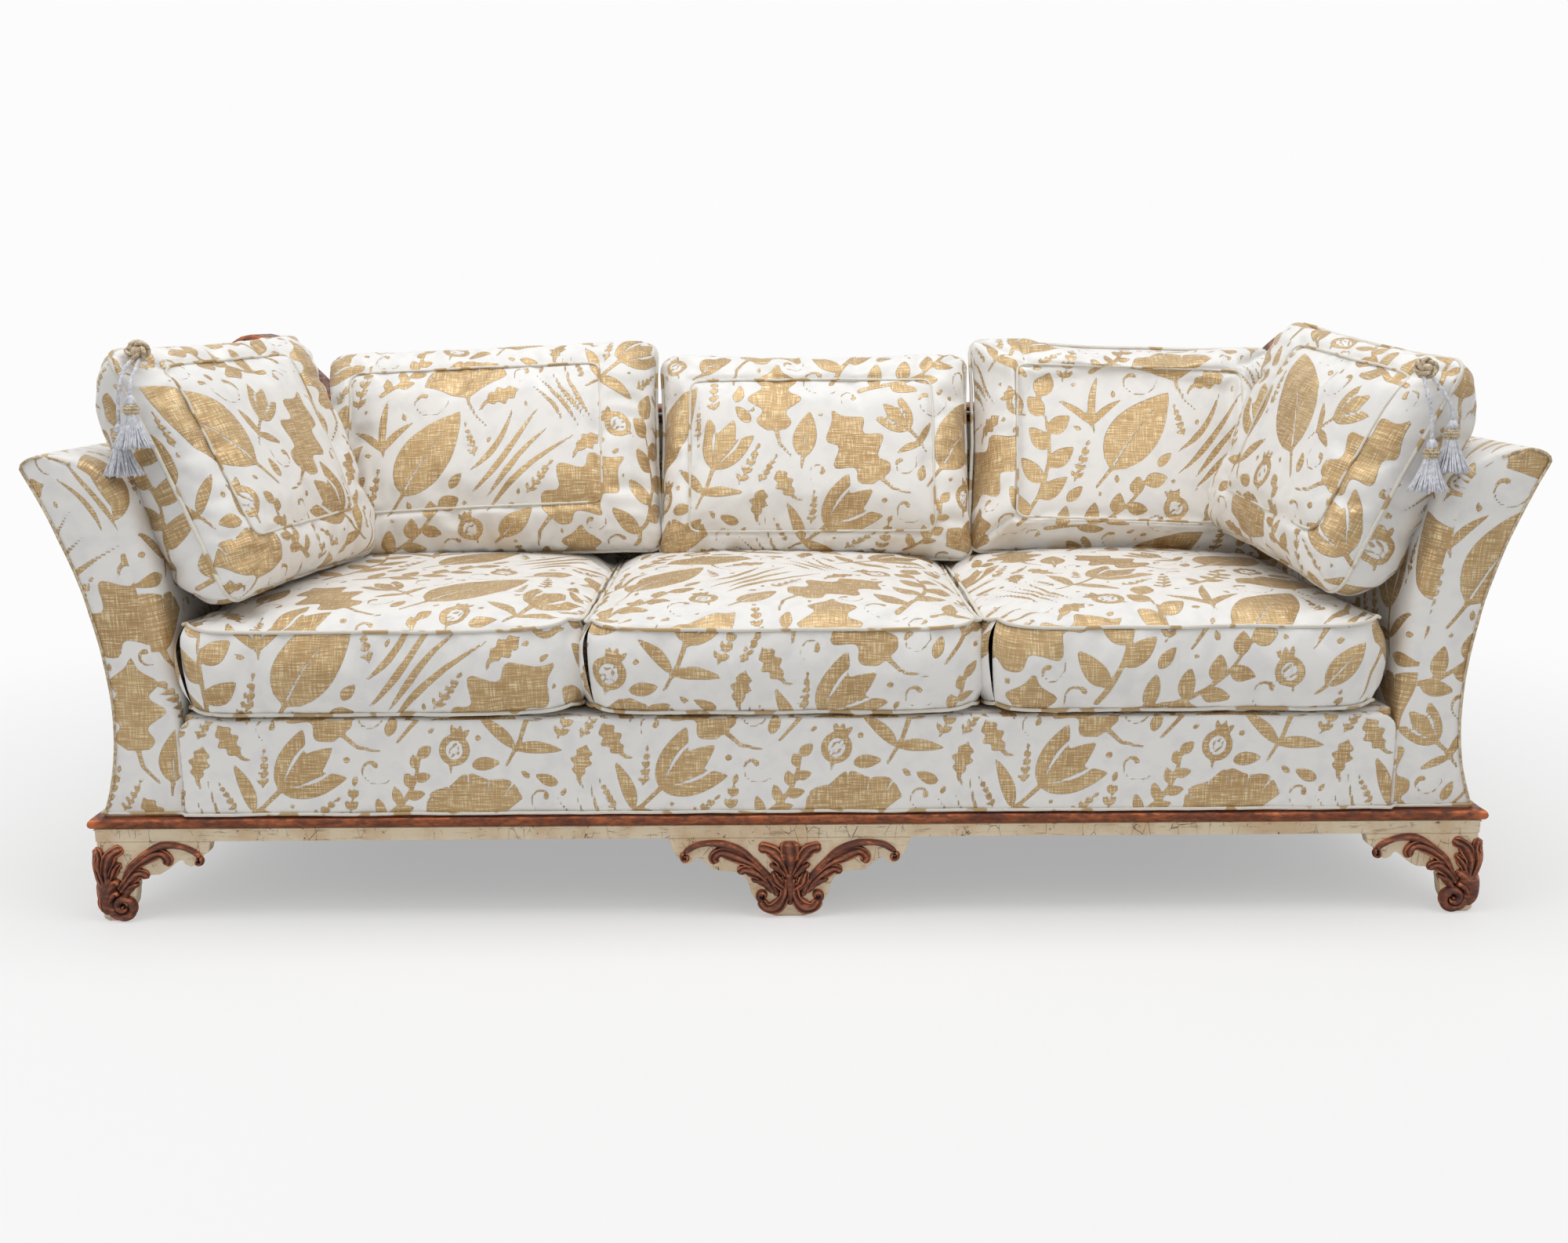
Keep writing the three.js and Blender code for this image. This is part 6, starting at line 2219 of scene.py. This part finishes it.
@dataclass
class Stage:
    """The camera, the lamps, the floor and the pale background."""

    place: Point = (-0.0227, -2.7021, 0.9482)
    pitch: float = 0.203
    yaw: float = 0.0067
    roll: float = -0.0045
    lens: float = 34.2
    backdrop: Colour = linear(250, 250, 250)

    def add_camera(self) -> None:
        """Sets the camera at the photograph's viewpoint."""
        data = bpy.data.cameras.new("camera")
        data.sensor_width, data.lens = 36, self.lens
        data.clip_start, data.clip_end = 0.05, 60
        camera = bpy.data.objects.new("camera", data)
        bpy.context.scene.collection.objects.link(camera)
        yaw, pitch, roll = self.yaw, self.pitch, self.roll
        ahead = Vector((math.sin(yaw) * math.cos(pitch), math.cos(yaw) * math.cos(pitch), -math.sin(pitch)))
        right = Vector((math.cos(yaw), -math.sin(yaw), 0))
        up = right.cross(ahead)
        right, up = right * math.cos(roll) + up * math.sin(roll), up * math.cos(roll) - right * math.sin(roll)
        turn = Matrix((right, up, -ahead)).transposed()
        camera.matrix_world = Matrix.Translation(self.place) @ turn.to_4x4()
        bpy.context.scene.camera = camera

    def add_lamp(self, name: str, place: Point, target: Point, size: tuple[float, float], watts: float, tint: Colour = (1, 1, 1)) -> None:
        """Adds a soft rectangular lamp.

        Args:
            name: Its name.
            place: Where it hangs.
            target: What it points at.
            size: Width and height.
            watts: Its power.
            tint: Its colour.
        """
        data = bpy.data.lights.new(name, "AREA")
        data.shape, data.size, data.size_y = "RECTANGLE", *size
        data.energy, data.color = watts, tint
        lamp = bpy.data.objects.new(name, data)
        lamp.location = place
        lamp.rotation_euler = (Vector(target) - Vector(place)).to_track_quat("-Z", "Y").to_euler()
        bpy.context.scene.collection.objects.link(lamp)

    def add_world(self) -> None:
        """Lights from all round, and shows a pale background to the camera and in gloss."""
        world = bpy.data.worlds.new("world")
        bpy.context.scene.world = world
        world.use_nodes = True
        tree = world.node_tree
        tree.nodes.clear()
        path = tree.nodes.new("ShaderNodeLightPath")
        seen = tree.nodes.new("ShaderNodeMath")
        seen.operation = "MAXIMUM"
        either = tree.nodes.new("ShaderNodeMath")
        either.operation = "MAXIMUM"
        tree.links.new(path.outputs["Is Camera Ray"], seen.inputs[0])
        tree.links.new(path.outputs["Is Glossy Ray"], seen.inputs[1])
        tree.links.new(seen.outputs[0], either.inputs[0])
        tree.links.new(path.outputs["Is Transmission Ray"], either.inputs[1])
        soft = tree.nodes.new("ShaderNodeBackground")
        soft.inputs[0].default_value, soft.inputs[1].default_value = (0.97, 0.98, 1, 1), 0.32
        pale = tree.nodes.new("ShaderNodeBackground")
        pale.inputs[0].default_value, pale.inputs[1].default_value = (*linear(252, 252, 252), 1), 1
        mix = tree.nodes.new("ShaderNodeMixShader")
        out = tree.nodes.new("ShaderNodeOutputWorld")
        tree.links.new(either.outputs[0], mix.inputs[0])
        tree.links.new(soft.outputs[0], mix.inputs[1])
        tree.links.new(pale.outputs[0], mix.inputs[2])
        tree.links.new(mix.outputs[0], out.inputs[0])

    def add_floor(self) -> None:
        """Lays a pale floor that runs out of sight."""
        x, y = np.meshgrid(np.linspace(-12, 12, 3), np.linspace(-6, 18, 3), indexing="ij")
        floor = Quilt().add(np.stack([x, y, 0 * x], -1)).sewn("floor")
        s = Surface("floor")
        where = s.place()
        tone = s.noise(where, 1.2, 3)
        base = s.blend(tone, linear(246, 246, 246), linear(250, 250, 250))
        lit = s.node("ShaderNodeBsdfPrincipled", None, {"Base Color": base, "Roughness": 0.7})
        bright = s.node("ShaderNodeEmission", None, {0: linear(252, 252, 252), 1: 1.0})
        distance = Value(s, s.node("ShaderNodeVectorMath", {"operation": "LENGTH"}, {0: where}).outputs["Value"])
        seen = Value(s, s.node("ShaderNodeLightPath").outputs["Is Camera Ray"])
        fade = (distance.between(0.6, 2.8) * 0.6 + 0.4) * seen
        mixed = s.node("ShaderNodeMixShader", None, {0: fade, 1: lit.outputs[0], 2: bright.outputs[0]})
        s.tree.links.new(mixed.outputs[0], s.output.inputs[0])
        floor.data.materials.append(s.material)

    def build(self) -> None:
        """Sets the stage."""
        scene = bpy.context.scene
        scene.view_settings.view_transform = "Standard"
        self.add_camera()
        self.add_world()
        self.add_floor()
        self.add_lamp("key", (2.6, -1.9, 3.2), (-0.3, -0.1, 0.6), (2.6, 2.0), 24, (1, 0.985, 0.96))
        self.add_lamp("fill", (-2.9, -1.7, 2.7), (0.3, -0.1, 0.6), (2.2, 2.0), 24)
        self.add_lamp("top", (0, -0.45, 3.4), (0, -0.1, 0.5), (3.6, 2.2), 64)


def main() -> None:
    """Builds the sofa piece by piece."""
    logging.basicConfig(level=logging.INFO, format="%(message)s")
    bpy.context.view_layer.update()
    Stage().build()
    LOG.info("stage set")
    room = Workroom()
    LOG.info("finishes and woven repeat made")
    left = Tassels(Hand.LEFT, ((4, -5, -10.9), (5, -22, -24), (5, -38, -36), (5, -50, -50), (5, -54, -64)),
                   ((-5, -5, -10.2), (-12, -20, -24), (-17, -32, -46), (-21, -37, -78), (-22, -38, -107)))
    right = Tassels(Hand.RIGHT, ((-5, -5, -9.9), (-5, -16, -25), (-2, -26, -45), (2, -30, -73), (5, -31, -105)),
                    ((5, -5, -9.6), (15, -11, -23), (26, -16, -39), (35, -19, -57), (39, -20, -77)))
    for tassels in (left, right):
        tassels.build(room)
        LOG.info("tassels %s", tassels.hand.name.lower())
    LooseCushions().build(room)
    room.puff()
    LOG.info("loose cushions")
    for hand in Hand:
        Arm(hand).build(room)
        LOG.info("arm %s", hand.name.lower())
    Body().build(room)
    LOG.info("back, border and deck")
    Plinth().build(room)
    LOG.info("plinth")
    Carving().build(room)
    LOG.info("carving")
    Inside().build(room)
    LOG.info("inner frame")


if __name__ == "__main__":
    main()
